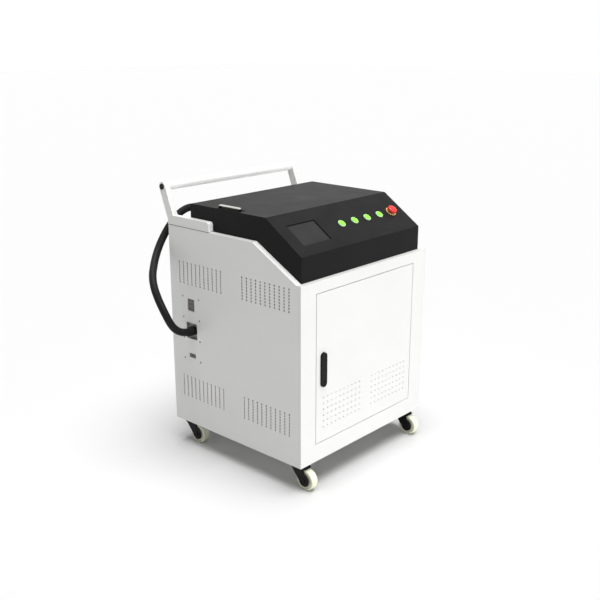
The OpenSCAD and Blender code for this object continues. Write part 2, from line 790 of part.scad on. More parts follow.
module latch_body() {
    color(dark_plastic) difference() {
        union() {
            along_y(front_y - latch_proud, latch_proud) translate([latch_cx, latch_cz]) stadium(latch_w, latch_l);
            along_y(front_y, latch_depth) translate([latch_cx, latch_cz])
                centred_rect(latch_w - 2 * (latch_cut_side + latch_play), latch_l - 2 * (latch_cut_end + latch_play));
            translate([latch_cx, front_y + latch_depth - latch_play, latch_cz]) rotate([-90, 0, 0])
                cylinder(r = latch_boss_r, h = frame_return - latch_depth + latch_play);
        }
        along_y(front_y - latch_proud - cut, latch_proud + latch_pocket + cut) translate([latch_cx, latch_cz])
            stadium(paddle_w + 2 * fit_gap, paddle_l + 2 * fit_gap);
        translate([latch_cx - paddle_w / 2 - paddle_pin_out - latch_play, paddle_y, paddle_pin_z]) rotate([0, 90, 0])
            cylinder(r = paddle_pin_r + shaft_gap, h = paddle_w + 2 * (paddle_pin_out + latch_play), $fn = small_fn);
        translate([latch_cx, front_y, latch_cz]) rotate([-90, 0, 0])
            cylinder(r = cam_r + shaft_gap, h = frame_return + latch_depth);
    }
}

module latch_paddle() {
    color(dark_plastic) {
        difference() {
            along_y(paddle_y - paddle_t / 2, paddle_t) translate([latch_cx, latch_cz])
                stadium(paddle_w, paddle_l);
            translate([latch_cx, paddle_y - paddle_t / 2 - cut, latch_cz - paddle_l / 2 + paddle_w / 2])
                rotate([-90, 0, 0]) cylinder(r = paddle_w / 3, h = cut + finger_depth);
        }
        translate([latch_cx - paddle_w / 2 - paddle_pin_out, paddle_y, paddle_pin_z]) rotate([0, 90, 0])
            cylinder(r = paddle_pin_r, h = paddle_w + 2 * paddle_pin_out, $fn = small_fn);
    }
}

module latch_cam() {
    color(steel) {
        translate([latch_cx, front_y + latch_pocket + finger_depth, latch_cz]) rotate([-90, 0, 0])
            cylinder(r = cam_r, h = cam_y - front_y - latch_pocket - finger_depth);
        along_y(cam_y, cam_t) translate([latch_cx, latch_cz]) {
            circle(r = cam_hub_r);
            translate([-cam_l, -cam_w / 2]) square([cam_l, cam_w]);
        }
    }
}

// Casters

plate_w = 72;
plate_t = 3;
race_r = 21;
race_h = 7;
king_r = 6;
king_head_r = 10;
king_head_h = 5;
crown_t = 5;
cheek_t = 3;
cheek_gap = 1.5;
hood_gap = 3;
hood_r = wheel_r + hood_gap;
hood_t = 3;
hood_from = 45;
hood_sweep = 50;
axle_boss_r = 22;
axle_head_h = 4;
axle_head_share = 1.75;
crown_r = 33;
cheek_top_front = 3;
cheek_top_rear = 1;
crown_z = floor_z - plate_t - race_h - fit_gap;
cheek_top_y = crown_r - cheek_top_rear;
cheek_top_z = crown_z - crown_t / 2;
// The cheek's edges end inside the round boss, at this share of its radius
root_share = 0.9;
// Direction from the boss's centre to the end of the rear edge, as an angle below the horizontal
boss_tangent = acos(axle_boss_r / norm([cheek_top_y + caster_trail, cheek_top_z - wheel_r]))
    - atan2(cheek_top_z - wheel_r, cheek_top_y + caster_trail);

module caster_plates() {
    color([0.1, 0.1, 0.1]) for (sx = [-1, 1], sy = [-1, 1]) translate([sx * caster_x, sy * caster_y, 0]) {
        translate([-plate_w / 2, -plate_w / 2, floor_z - plate_t]) cube([plate_w, plate_w, plate_t]);
        for (bx = [-0.5, 0.5], by = [-0.5, 0.5])
            translate([bx * caster_bolt_w, by * caster_bolt_w, 0]) {
                translate([0, 0, floor_z - plate_t - caster_head_h])
                    cylinder(r = caster_head_r, h = caster_head_h, $fn = 6);
                translate([0, 0, floor_z - plate_t]) cylinder(r = caster_bolt_r,
                    h = plate_t + 2 * sheet_t + caster_head_h, $fn = small_fn);
                translate([0, 0, floor_z + sheet_t]) cylinder(r = caster_head_r, h = caster_head_h, $fn = 6);
            }
        translate([0, 0, floor_z - plate_t - race_h]) cylinder(r = race_r, h = race_h);
        translate([0, 0, crown_z - crown_t - fit_gap]) cylinder(r = king_r, h = crown_t + 2 * fit_gap);
        translate([0, 0, crown_z - crown_t - fit_gap - king_head_h]) cylinder(r = king_head_r, h = king_head_h);
    }
}

// Fork about its swivel axis, the wheel to the front of it
module fork_shape() {
    inner = wheel_w / 2 + cheek_gap;
    difference() {
        union() {
            translate([0, 0, crown_z - crown_t]) cylinder(r = crown_r, h = crown_t);
            for (s = [-1, 1]) along_x(s > 0 ? inner : -inner - cheek_t, cheek_t) difference() {
                union() {
                    translate([-caster_trail, wheel_r]) circle(r = axle_boss_r);
                    polygon([[cheek_top_y, cheek_top_z], [-caster_trail + cheek_top_front, cheek_top_z],
                        [-caster_trail, wheel_r + root_share * axle_boss_r], [-caster_trail, wheel_r],
                        [-caster_trail + root_share * axle_boss_r * cos(boss_tangent),
                         wheel_r - root_share * axle_boss_r * sin(boss_tangent)]]);
                }
                translate([-caster_trail, wheel_r]) circle(r = axle_r, $fn = small_fn);
            }
            translate([0, -caster_trail, wheel_r]) rotate([90, 0, 90]) translate([0, 0, -inner - cheek_t / 2])
                rotate([0, 0, hood_from]) rotate_extrude(angle = hood_sweep)
                    translate([hood_r, 0]) square([hood_t, 2 * inner + cheek_t]);
        }
        translate([0, 0, crown_z - crown_t - cut]) cylinder(r = king_r + shaft_gap, h = crown_t + 2 * cut);
        translate([0, 0, crown_z]) cylinder(r = 2 * crown_r, h = 4 * cut);
    }
}

module axle_shape() {
    half = wheel_w / 2 + cheek_gap + cheek_t;
    translate([0, -caster_trail, wheel_r]) rotate([0, 90, 0]) {
        translate([0, 0, -half]) cylinder(r = axle_r, h = 2 * half, $fn = small_fn);
        translate([0, 0, -half - axle_head_h]) cylinder(r = axle_head_share * axle_r, h = axle_head_h, $fn = 6);
        translate([0, 0, half]) cylinder(r = axle_head_share * axle_r, h = axle_head_h, $fn = 6);
    }
}

module fork(sx, sy) {
    color([0.09, 0.09, 0.09]) translate([sx * caster_x, sy * caster_y, 0]) {
        fork_shape();
        axle_shape();
    }
}

tread_crown = 2.5;
rim_w = 7;
rim_bevel = 2;
hub_r = 12;
hub_out = 1;
web_sink = 3;

module wheel(sx, sy) {
    half = wheel_w / 2;
    profile = [[axle_r + shaft_gap, half + hub_out], [hub_r, half + hub_out], [hub_r + hub_out, half - web_sink],
        [wheel_r - rim_w - rim_bevel, half - web_sink], [wheel_r - rim_w, half], [wheel_r - tread_crown, half],
        [wheel_r, half - tread_crown]];
    n = len(profile) - 1;
    color(cream) translate([sx * caster_x, sy * caster_y - caster_trail, wheel_r]) rotate([0, 90, 0])
        rotate_extrude() polygon(concat(
            [for (p = profile) [p.x, -p.y]], [for (i = [n : -1 : 0]) profile[i]]));
}

// Inside the cabinet

shelf_rise = 368;
shelf_front = 70;
port_clear = 67;
shelf_z = floor_z + shelf_rise;
shelf_y0 = front_y + shelf_front;
shelf_y1 = port_y - port_clear;
shelf_lip = 25;

module equipment_shelf() {
    w = cab_w - 2 * sheet_t;
    color([0.8, 0.8, 0.8]) {
        box_at([-w / 2, shelf_y0, shelf_z - sheet_t], [w, shelf_y1 - shelf_y0, sheet_t]);
        for (x = [-w / 2, w / 2 - sheet_t])
            box_at([x, shelf_y0, shelf_z - shelf_lip], [sheet_t, shelf_y1 - shelf_y0, shelf_lip]);
    }
}

laser_side = 60;
laser_rear = 15;
control_side = 160;
equipment_gap = 40;
laser_size = [cab_w - laser_side - control_side - equipment_gap, 370, 150];
fin_h = 14;
fin_t = 5;
fin_pitch = 30;
fin_margin = 20;
fins = floor((laser_size.x - 2 * fin_margin) / fin_pitch) + 1;
module laser_source() {
    lo = [-cab_w / 2 + laser_side, shelf_y1 - laser_size.y - laser_rear, shelf_z];
    color([0.35, 0.37, 0.4]) {
        box_at(lo, laser_size);
        for (i = [0 : fins - 1]) box_at(lo + [fin_margin + i * fin_pitch, fin_margin, laser_size.z],
            [fin_t, laser_size.y - 2 * fin_margin, fin_h]);
    }
}

control_size = [110, 260, 70];
control_front = 60;
module control_unit() {
    color([0.4, 0.42, 0.4]) box_at([cab_w / 2 - control_side, shelf_y0 + control_front, shelf_z], control_size);
}

supply_size = [150, 240, 110];
supply_side = 50;
supply_front = 85;
module power_supply() {
    color([0.62, 0.63, 0.64]) 
        box_at([-cab_w / 2 + supply_side, front_y + supply_front, floor_z + sheet_t], supply_size);
}

tank_size = [240, 190, 200];
tank_side = 88;
tank_rear = 60;
filler_r = 26;
filler_h = 18;
module water_tank() {
    lo = [-cab_w / 2 + tank_side, rear_y - tank_rear - tank_size.y, floor_z + sheet_t];
    color([0.75, 0.8, 0.85]) {
        box_at(lo, tank_size);
        translate(lo + [tank_size.x / 2, tank_size.y / 2, tank_size.z]) cylinder(r = filler_r, h = filler_h);
    }
}

pump_at = [60, -60];
pump_r = 44;
pump_l = 120;
volute_l = 30;
volute_out = 4;
pump_foot = [100, 90, 8];
pump_cradle = [80, 60];

module water_pump() {
    axis_z = pump_foot.z + pump_r + volute_out;
    color([0.2, 0.25, 0.35]) translate([pump_at.x, pump_at.y, floor_z + sheet_t]) {
        box_at([-pump_foot.x / 2, -pump_foot.y / 2, 0], pump_foot);
        box_at([-pump_cradle.x / 2, -pump_cradle.y / 2, pump_foot.z], [pump_cradle.x, pump_cradle.y, pump_r / 2]);
        translate([-pump_l / 2, 0, axis_z]) rotate([0, 90, 0]) cylinder(r = pump_r, h = pump_l);
        translate([pump_l / 2, 0, axis_z]) rotate([0, 90, 0]) cylinder(r = pump_r + volute_out, h = volute_l);
    }
}

fan_hub_r = 30;
fan_tip_gap = 4;
fan_wall = 6;
motor_t = 8;
strut_w = 10;
strut_t = 6;
strut_tuck = 2;
fan_shaft_r = 3;
rotor_front = 5;
blade_chord = 30;
blade_t = 2;
blade_pitch = 38;
blade_root = 3;
fan_y = rear_y - sheet_t;

module fan_frame() {
    side = 2 * (fan_r + fan_wall);
    color(dark_plastic) translate([fan_x, fan_y, floor_z + fan_z]) rotate([90, 0, 0]) {
        difference() {
            linear_extrude(fan_depth) square([side, side], center = true);
            translate([0, 0, -cut]) cylinder(r = fan_r, h = fan_depth + 2 * cut);
        }
        translate([0, 0, fan_depth - motor_t]) cylinder(r = fan_hub_r, h = motor_t);
        for (a = [45 : 90 : 315]) rotate([0, 0, a])
            translate([fan_hub_r - strut_tuck, -strut_w / 2, fan_depth - strut_t])
                cube([fan_r - fan_hub_r + 2 * strut_tuck, strut_w, strut_t]);
        translate([0, 0, strut_t]) cylinder(r = fan_shaft_r, h = fan_depth - 2 * strut_t);
    }
}

module fan_rotor() {
    blade_l = fan_r - fan_tip_gap - fan_hub_r + blade_root;
    hub_l = fan_depth - 2 * motor_t;
    color([0.1, 0.1, 0.1]) translate([fan_x, fan_y, floor_z + fan_z]) rotate([90, 0, 0]) difference() {
        union() {
            translate([0, 0, rotor_front]) cylinder(r = fan_hub_r, h = hub_l);
            for (i = [0 : fan_blades - 1]) rotate([0, 0, i * 360 / fan_blades])
                translate([fan_hub_r - blade_root, 0, rotor_front + hub_l / 2]) rotate([blade_pitch, 0, 0])
                    translate([0, -blade_chord / 2, -blade_t / 2]) cube([blade_l, blade_chord, blade_t]);
        }
        translate([0, 0, rotor_front - cut]) cylinder(r = fan_shaft_r + shaft_gap, h = hub_l + 2 * cut);
    }
}

wire_w = 3;
guard_rings = 6;
guard_hub_r = 14;
guard_rim_r = fan_r + fan_wall / 2;
module fan_guard() {
    pitch = (guard_rim_r - guard_hub_r) / guard_rings;
    color(steel) along_y(rear_y, wire_w) translate([fan_x, floor_z + fan_z]) {
        for (i = [0 : guard_rings]) difference() {
            circle(r = guard_hub_r + i * pitch + wire_w / 2);
            circle(r = guard_hub_r + i * pitch - wire_w / 2);
        }
        for (a = [45 : 90 : 315]) rotate([0, 0, a]) translate([guard_hub_r, -wire_w / 2])
            square([guard_rim_r - guard_hub_r, wire_w]);
    }
}

core_t = 36;
core_slots = 16;
core_frame = 15;
module radiator() {
    side = 2 * (fan_r + fan_wall);
    slot_pitch = (side - 2 * core_frame) / core_slots;
    y0 = fan_y - fan_depth - core_t;
    color([0.55, 0.56, 0.58]) translate([fan_x, y0, floor_z + fan_z]) difference() {
        translate([-side / 2, 0, -side / 2]) cube([side, core_t, side]);
        for (i = [0 : core_slots - 1])
            translate([-side / 2 + core_frame, -cut, -side / 2 + core_frame + (i + 0.3) * slot_pitch])
                cube([side - 2 * core_frame, core_t + 2 * cut, slot_pitch * 0.5]);
    }
}

// Storage bracket on the rear panel: a saddle for the coil and a holster for the head

tip_l = 30;
tube_l = 65;
case_w = 60;
case_d = 52;
case_l = 82;
case_z = tip_l + tube_l;
coil_rings = 24;
layer_rings = coil_turns * coil_rings;
cross_rings = coil_rings / 2;
coil_rings_all = 2 * layer_rings + cross_rings;
straight_l = 2 * hose_r;
coil_x = 0;
coil_rise = 565;
coil_z = floor_z + coil_rise;
coil_stand = 20;
layer_in_y = rear_y + coil_stand;
layer_out_y = layer_in_y + coil_pitch;
coil_in_r = coil_r - coil_turns * coil_pitch;
coil_dip = 5;
saddle_r = (coil_in_r - coil_dip) * cos(180 / coil_rings) - hose_r - fit_gap;
saddle_t = 3;
saddle_from = 48;
saddle_sweep = 84;
lip_in = 12;
lip_out = 34;
head_x = 250;
head_stand = 35;
head_rise = 592;
head_y = rear_y + head_stand;
head_tail_z = floor_z + head_rise;
head_l = 310;
tip_z = head_tail_z - head_l;
ring_h = 12;
ring_z = tip_z + case_z - ring_h;
tube_r = 20;
holster_wall = 8;
holster_w = 32;
holster_plate = [48, 70];
holster_drop = 40;

// A sector of a flat ring about the coil's axis, facing the rear, from y to y + t
module saddle_sector(y, t, r_in, r_out) {
    translate([coil_x, y + t, coil_z]) rotate([90, 0, 0]) rotate([0, 0, saddle_from])
        rotate_extrude(angle = saddle_sweep) translate([r_in, 0]) square([r_out - r_in, t]);
}

module storage_bracket() {
    color([0.3, 0.3, 0.31]) {
        saddle_sector(rear_y, bracket_reach, saddle_r - saddle_t, saddle_r);
        saddle_sector(rear_y + bracket_reach - saddle_t, saddle_t, saddle_r - lip_in, saddle_r + lip_out);
        saddle_sector(rear_y, saddle_t, saddle_r - lip_out, saddle_r - saddle_t / 2);
        difference() {
            union() {
                translate([head_x, head_y, ring_z]) cylinder(r = tube_r + holster_wall, h = ring_h);
                box_at([head_x - holster_w / 2, rear_y, ring_z], [holster_w, head_y - rear_y - tube_r, ring_h]);
                box_at([head_x - holster_plate.x / 2, rear_y, ring_z - holster_drop],
                    [holster_plate.x, saddle_t, holster_plate.y]);
            }
            translate([head_x, head_y, ring_z - cut]) cylinder(r = tube_r + fit_gap, h = ring_h + 2 * cut);
        }
    }
}

// Hose

gland_out = 2.5;
gland_r = hose_r + gland_out;
gland_thread_r = 12;
gland_play = 0.1;
gland_tail = 12;
nut_t = 8;
module hose_gland() {
    color(dark_plastic) translate([-cab_w / 2, port_y, floor_z + hose_port_z]) rotate([0, 90, 0]) {
        cylinder(r = gland_r, h = dish_depth);
        translate([0, 0, dish_depth]) cylinder(r = gland_thread_r - gland_play, h = sheet_t + gland_tail);
        translate([0, 0, dish_depth + sheet_t]) cylinder(r = gland_r + gland_out, h = nut_t, $fn = 6);
    }
}

// Centre line of the hose from its port to the coil, x, y and z from the cabinet's middle and the floor
lead_route = [[-350, 217, 472], [-358, 217, 472], [-385, 216, 476], [-412, 214, 487], [-436, 212, 505],
    [-455, 210, 529], [-470, 212, 560], [-480, 221, 592], [-483, 241, 629], [-475, 268, 663], [-455, 297, 691],
    [-428, 324, 712], [-399, 348, 736], [-369, 365, 766], [-338, 372, 803], [-306, 374, 838], [-268, 376, 869],
    [-226, 378, 888], [-188, 378, 892], [-151, 377, 886], [-116, 376, 868], [-80, 375, 850], [-44, 374, 844],
    [-28, 374, 844]];
// Centre line of the hose from the coil to the head
tail_route = [[28, 345, 844], [64, 345, 844], [110, 346, 840], [152, 348, 829], [188, 351, 810],
    [216, 353, 784], [236, 356, 754], [246, 359, 726], [250, 360, 702], [250, 360, 689]];
hose_sides = 10;

function tangent_at(path, i) =
    unit(path[min(i + 1, len(path) - 1)] - path[max(i - 1, 0)]);

// Rings of a tube swept along a path, each turned as little as possible from the one before
function swept_frames(path, i, side) =
    i == len(path) ? [] :
    let (t = tangent_at(path, i), n = unit(side - t * (side * t)))
    concat([[path[i], n, cross(t, n)]], swept_frames(path, i + 1, n));

module swept_tube(path, r, sides, side) {
    frames = swept_frames(path, 0, side);
    m = len(path);
    pts = [for (f = frames) for (k = [0 : sides - 1])
        f[0] + r * (cos(360 * k / sides) * f[1] + sin(360 * k / sides) * f[2])];
    walls = [for (i = [0 : m - 2]) for (k = [0 : sides - 1]) let (a = i * sides + k,
        b = i * sides + (k + 1) % sides) each [[a, a + sides, b], [b, a + sides, b + sides]]];
    first_cap = [for (k = [1 : sides - 2]) [0, k, k + 1]];
    last_cap = [for (k = [1 : sides - 2]) [(m - 1) * sides, (m - 1) * sides + k + 1, (m - 1) * sides + k]];
    polyhedron(points = pts, faces = concat(walls, first_cap, last_cap), convexity = 10);
}

module hose_lead() {
    color(dark_plastic) swept_tube(lead_route, hose_r, hose_sides, [0, 0, 1]);
}

module hose_tail() {
    color(dark_plastic) swept_tube(tail_route, hose_r, hose_sides, [0, 1, 0]);
}

// Coil: in on the outer layer, across in the half turn at the inside, out on the inner layer. The half turn dips inwards
// to keep clear of the turns beside it

function ramp(u) = u * u * (3 - 2 * u);
function coil_point(i) =
    let (a = 90 - i * 360 / coil_rings,
         inward = min(i, layer_rings), outward = max(i - layer_rings - cross_rings, 0),
         u = min(max((i - layer_rings) / cross_rings, 0), 1),
         r = coil_r - coil_pitch * (inward - outward) / coil_rings - 4 * coil_dip * u * (1 - u))
    [coil_x + r * cos(a), layer_out_y - coil_pitch * ramp(u), coil_z + r * sin(a)];

coil_path = concat([[coil_x - straight_l, layer_out_y, coil_z + coil_r]],
    [for (i = [0 : coil_rings_all]) coil_point(i)],
    [[coil_x + straight_l, layer_in_y, coil_z + coil_r]]);

// Least distance between centre points that lie more than half a turn apart along the coil
function least_gap(path, apart) =
    min([for (i = [0 : len(path) - 1 - apart]) for (j = [i + apart : len(path) - 1]) norm(path[i] - path[j])]);

module hose_coil() {
    echo(coil_gap = least_gap(coil_path, cross_rings) - 2 * hose_r);
    color(dark_plastic) swept_tube(coil_path, hose_r, 6, [0, 1, 0]);
}

// Cleaning head, hung nozzle down, z from the tip of its nozzle

grip_z = case_z + case_l;
grip_l = 108;
grip_r = 20;
grip_grooves = 10;
groove_r = 1.2;
groove_pitch = 7;
collar_l = head_l - grip_z - grip_l;
collar_wall = 4;
drawer_w = 40;
drawer_h = 9;
drawer_rise = 10;
drawer_z = case_z + drawer_rise;
drawer_l = 46;
drawer_play = 1;
drawer_lip = 3;
drawer_face_t = 4;
lens_r = 15;
trigger_up = 88;
trigger_z = grip_z + trigger_up;
trigger_l = 62;
trigger_w = 14;
trigger_t = 5;
trigger_pin_r = 2;
trigger_pin_out = 3;
trigger_rise = 10;
trigger_top = 6;
trigger_belly = 2;
trigger_hook = 6;
trigger_round = 2;
ear_t = 3;
ear_h = 14;
ear_tuck = 4;
tip_r = 9;
tip_bore_r = 5;

module head_at() {
    translate([head_x, head_y, tip_z]) children();
}

module head_body() {
    ear_x = trigger_w / 2 + fit_gap;
    color([0.15, 0.15, 0.16]) head_at() difference() {
        union() {
            translate([-case_w / 2, -case_d / 2, case_z]) cube([case_w, case_d, case_l]);
            translate([0, 0, grip_z]) cylinder(r = grip_r, h = grip_l);
            translate([0, 0, grip_z + grip_l]) cylinder(r = hose_r + collar_wall, h = collar_l);
            for (x = [-ear_x - ear_t, ear_x]) translate([x, grip_r - ear_tuck, trigger_z - ear_h / 2])
                cube([ear_t, trigger_rise + 2 * ear_tuck, ear_h]);
        }
        translate([case_w / 2 - drawer_l, -drawer_w / 2 - fit_gap, drawer_z - fit_gap])
            cube([drawer_l + cut, drawer_w + 2 * fit_gap, drawer_h + 2 * fit_gap]);
        translate([-ear_x - ear_t - cut, grip_r + trigger_rise, trigger_z]) rotate([0, 90, 0])
            cylinder(r = trigger_pin_r, h = 2 * (ear_x + ear_t + cut), $fn = small_fn);
        for (i = [1 : grip_grooves]) translate([0, 0, grip_z + i * groove_pitch])
            rotate_extrude() translate([grip_r, 0]) circle(r = groove_r, $fn = small_fn);
    }
}

module head_nozzle() {
    color([0.8, 0.62, 0.35]) head_at() difference() {
        union() {
            translate([0, 0, tip_l]) cylinder(r = tube_r, h = tube_l);
            cylinder(r1 = tip_r, r2 = tube_r - collar_wall, h = tip_l);
        }
        translate([0, 0, -cut]) cylinder(r = tip_bore_r, h = tip_l + tube_l + 2 * cut);
    }
}

module head_trigger() {
    half = trigger_t / 2;
    pin_l = trigger_w + 2 * trigger_pin_out;
    color([0.7, 0.1, 0.08]) head_at() translate([0, grip_r + trigger_rise, trigger_z]) {
        translate([-pin_l / 2, 0, 0]) rotate([0, 90, 0])
            cylinder(r = trigger_pin_r - shaft_gap, h = pin_l, $fn = small_fn);
        along_x(-trigger_w / 2, trigger_w) polygon(rounded([[-half, trigger_top], [half, trigger_top],
            [half + trigger_belly, -2 * trigger_t], [trigger_hook, -trigger_l],
            [trigger_belly / 2, -trigger_l - trigger_belly], [-trigger_belly / 2, -trigger_l + trigger_hook],
            [-half, -2 * trigger_t]], [trigger_round, trigger_round, 0, trigger_round, 0, 0, 0], 4));
    }
}

module lens_drawer() {
    face_x = case_w / 2 + fit_gap;
    color([0.55, 0.57, 0.6]) head_at() difference() {
        union() {
            translate([case_w / 2 - drawer_l + drawer_play, -drawer_w / 2, drawer_z])
                cube([drawer_l, drawer_w, drawer_h]);
            translate([face_x, -drawer_w / 2 - drawer_lip, drawer_z - drawer_lip])
                cube([drawer_face_t, drawer_w + 2 * drawer_lip, drawer_h + 2 * drawer_lip]);
        }
        translate([case_w / 2 - drawer_l / 2, 0, drawer_z - cut]) cylinder(r = lens_r, h = drawer_h + 2 * cut);
    }
}

module place() {
    translate([0, -mid_y, 0]) children();
}

place() base_tray();
place() left_panel();
place() right_panel();
place() front_frame();
place() rear_panel();
place() rear_deck();
place() console_cover();
place() connector_plate();
place() connector_screws();
place() breaker_body();
place() breaker_toggle();
place() data_port();
place() screen_bezel();
place() screen_glass();
place() display_module();
place() button_bezels();
place() switch_blocks();
place() button_cap(0);  // button_1
place() button_cap(1);  // button_2
place() button_cap(2);  // button_3
place() button_cap(3);  // button_4
place() stop_ring();
place() stop_head();
place() handle_arms();
place() handle_bar();
place() handle_plugs();
place() lift_bar();
place() door_panel();
place() door_pins();
place() latch_body();
place() latch_paddle();
place() latch_cam();
place() caster_plates();
place() fork(-1, -1);  // fork_front_left
place() fork(1, -1);  // fork_front_right
place() fork(-1, 1);  // fork_rear_left
place() fork(1, 1);  // fork_rear_right
place() wheel(-1, -1);  // wheel_front_left
place() wheel(1, -1);  // wheel_front_right
place() wheel(-1, 1);  // wheel_rear_left
place() wheel(1, 1);  // wheel_rear_right
place() equipment_shelf();
place() laser_source();
place() power_supply();
place() control_unit();
place() water_tank();
place() water_pump();
place() radiator();
place() fan_frame();
place() fan_rotor();
place() fan_guard();
place() storage_bracket();
place() hose_gland();
place() hose_lead();
place() hose_coil();
place() hose_tail();
place() head_body();
place() head_nozzle();
place() head_trigger();
place() lens_drawer();
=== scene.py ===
import math
import bpy
import bmesh
from mathutils import Matrix, Vector


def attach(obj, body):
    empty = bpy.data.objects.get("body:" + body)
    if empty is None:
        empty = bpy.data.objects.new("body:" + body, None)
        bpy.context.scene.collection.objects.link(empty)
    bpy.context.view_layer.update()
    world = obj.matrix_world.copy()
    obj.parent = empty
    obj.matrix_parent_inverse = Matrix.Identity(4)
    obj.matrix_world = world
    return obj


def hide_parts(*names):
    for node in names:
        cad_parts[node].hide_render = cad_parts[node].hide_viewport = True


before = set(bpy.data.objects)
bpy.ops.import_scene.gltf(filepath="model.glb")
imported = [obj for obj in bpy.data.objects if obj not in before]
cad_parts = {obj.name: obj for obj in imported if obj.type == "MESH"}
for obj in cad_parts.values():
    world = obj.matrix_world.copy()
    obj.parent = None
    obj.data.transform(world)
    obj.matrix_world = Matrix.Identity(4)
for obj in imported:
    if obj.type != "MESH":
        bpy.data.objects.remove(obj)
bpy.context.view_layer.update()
print("frame loaded,", len(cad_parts), "nodes")

# The cabinet is measured in millimetres from its own middle and the floor; the whole part's middle lies further back
cabinetForward = 23.75


def mm(value):
    return value / 1000


def spot(x, y, z):
    return Vector((mm(x), mm(y - cabinetForward), mm(z)))


# Camera, at the place worked out from the cabinet's corners in the photograph
cameraSetup = {"place": (-2.350, -2.1568, 1.531), "pitch": 72.94, "yaw": -47.83, "lens": 52.61, "sensor": 36.0,
               "farClip": 50}

cameraData = bpy.data.cameras.new("viewCamera")
cameraData.lens = cameraSetup["lens"]
cameraData.sensor_width = cameraSetup["sensor"]
cameraData.clip_end = cameraSetup["farClip"]
viewCamera = bpy.data.objects.new("viewCamera", cameraData)
viewCamera.location = cameraSetup["place"]
viewCamera.rotation_euler = (math.radians(cameraSetup["pitch"]), 0, math.radians(cameraSetup["yaw"]))
bpy.context.collection.objects.link(viewCamera)
bpy.context.scene.camera = viewCamera
print("camera placed")


# Helpers for shader trees; a value is either a number for the socket or an output to link

def feed(tree, value, socket):
    if isinstance(value, (int, float)):
        socket.default_value = value
    else:
        tree.links.new(value, socket)


def newGroup(name, inputs, outputs):
    tree = bpy.data.node_groups.new(name, "ShaderNodeTree")
    for label, kind, value in inputs:
        socket = tree.interface.new_socket(label, in_out="INPUT", socket_type="NodeSocket" + kind)
        if value is not None:
            socket.default_value = value
    for label, kind in outputs:
        tree.interface.new_socket(label, in_out="OUTPUT", socket_type="NodeSocket" + kind)
    return tree, tree.nodes.new("NodeGroupInput"), tree.nodes.new("NodeGroupOutput")


def addMath(tree, operation, first, second=None, clamp=False):
    node = tree.nodes.new("ShaderNodeMath")
    node.operation = operation
    node.use_clamp = clamp
    for socket, value in zip(node.inputs, (first, second)):
        if value is not None:
            feed(tree, value, socket)
    return node.outputs[0]


def addNoise(tree, vector, scale, detail=2.0, rough=0.5):
    node = tree.nodes.new("ShaderNodeTexNoise")
    node.inputs["Detail"].default_value = detail
    node.inputs["Roughness"].default_value = rough
    tree.links.new(vector, node.inputs["Vector"])
    feed(tree, scale, node.inputs["Scale"])
    return node.outputs["Fac"]


def addRange(tree, value, low, high, toLow=0.0, toHigh=1.0):
    node = tree.nodes.new("ShaderNodeMapRange")
    tree.links.new(value, node.inputs["Value"])
    for label, number in (("From Min", low), ("From Max", high), ("To Min", toLow), ("To Max", toHigh)):
        feed(tree, number, node.inputs[label])
    return node.outputs["Result"]


def mixValues(tree, first, second, firstShare):
    return addMath(tree, "ADD", addMath(tree, "MULTIPLY", first, firstShare),
                   addMath(tree, "MULTIPLY", second, 1.0 - firstShare))


# Fine peel of a sprayed or moulded skin, with slow changes of tone over it
peel = {"fine": {"detail": 3.0, "rough": 0.6}, "coarse": {"detail": 1.0}, "coarseScale": 0.23, "coarseHeight": 0.6,
        "patch": {"scale": 7.0, "detail": 4.0, "rough": 0.6}, "patchShare": 0.7}


def buildPeelGroup():
    tree, inputs, outputs = newGroup("skinPeel", [("Vector", "Vector", None), ("Scale", "Float", 900.0)],
                                     [("Height", "Float"), ("Tone", "Float")])
    vector, scale = inputs.outputs["Vector"], inputs.outputs["Scale"]
    fine = addNoise(tree, vector, scale, **peel["fine"])
    coarse = addNoise(tree, vector, addMath(tree, "MULTIPLY", scale, peel["coarseScale"]), **peel["coarse"])
    patch = addNoise(tree, vector, **peel["patch"])
    height = addMath(tree, "ADD", fine, addMath(tree, "MULTIPLY", coarse, peel["coarseHeight"]))
    tree.links.new(height, outputs.inputs["Height"])
    tree.links.new(mixValues(tree, patch, fine, peel["patchShare"]), outputs.inputs["Tone"])
    return tree


# Long fine lines of brushed or turned metal, along the axis with the least stretch
brush = {"line": {"detail": 3.0, "rough": 0.65}, "cloud": {"scale": 18.0, "detail": 3.0, "rough": 0.55},
         "lineShare": 0.6}


def buildBrushGroup():
    tree, inputs, outputs = newGroup("brushLines", [("Vector", "Vector", None), ("Scale", "Float", 60.0),
                                                    ("Stretch", "Vector", (1.0, 30.0, 30.0))],
                                     [("Height", "Float"), ("Tone", "Float")])
    stretch = tree.nodes.new("ShaderNodeVectorMath")
    stretch.operation = "MULTIPLY"
    tree.links.new(inputs.outputs["Vector"], stretch.inputs[0])
    tree.links.new(inputs.outputs["Stretch"], stretch.inputs[1])
    lines = addNoise(tree, stretch.outputs["Vector"], inputs.outputs["Scale"], **brush["line"])
    cloud = addNoise(tree, inputs.outputs["Vector"], **brush["cloud"])
    tree.links.new(lines, outputs.inputs["Height"])
    tree.links.new(mixValues(tree, lines, cloud, brush["lineShare"]), outputs.inputs["Tone"])
    return tree


# Edges found by comparing the rounded normal with the face's own; noise breaks the worn line up
edgeWear = {"bend": (0.02, 0.18), "noise": {"scale": 60.0, "detail": 5.0, "rough": 0.7}, "broken": (0.48, 0.66)}


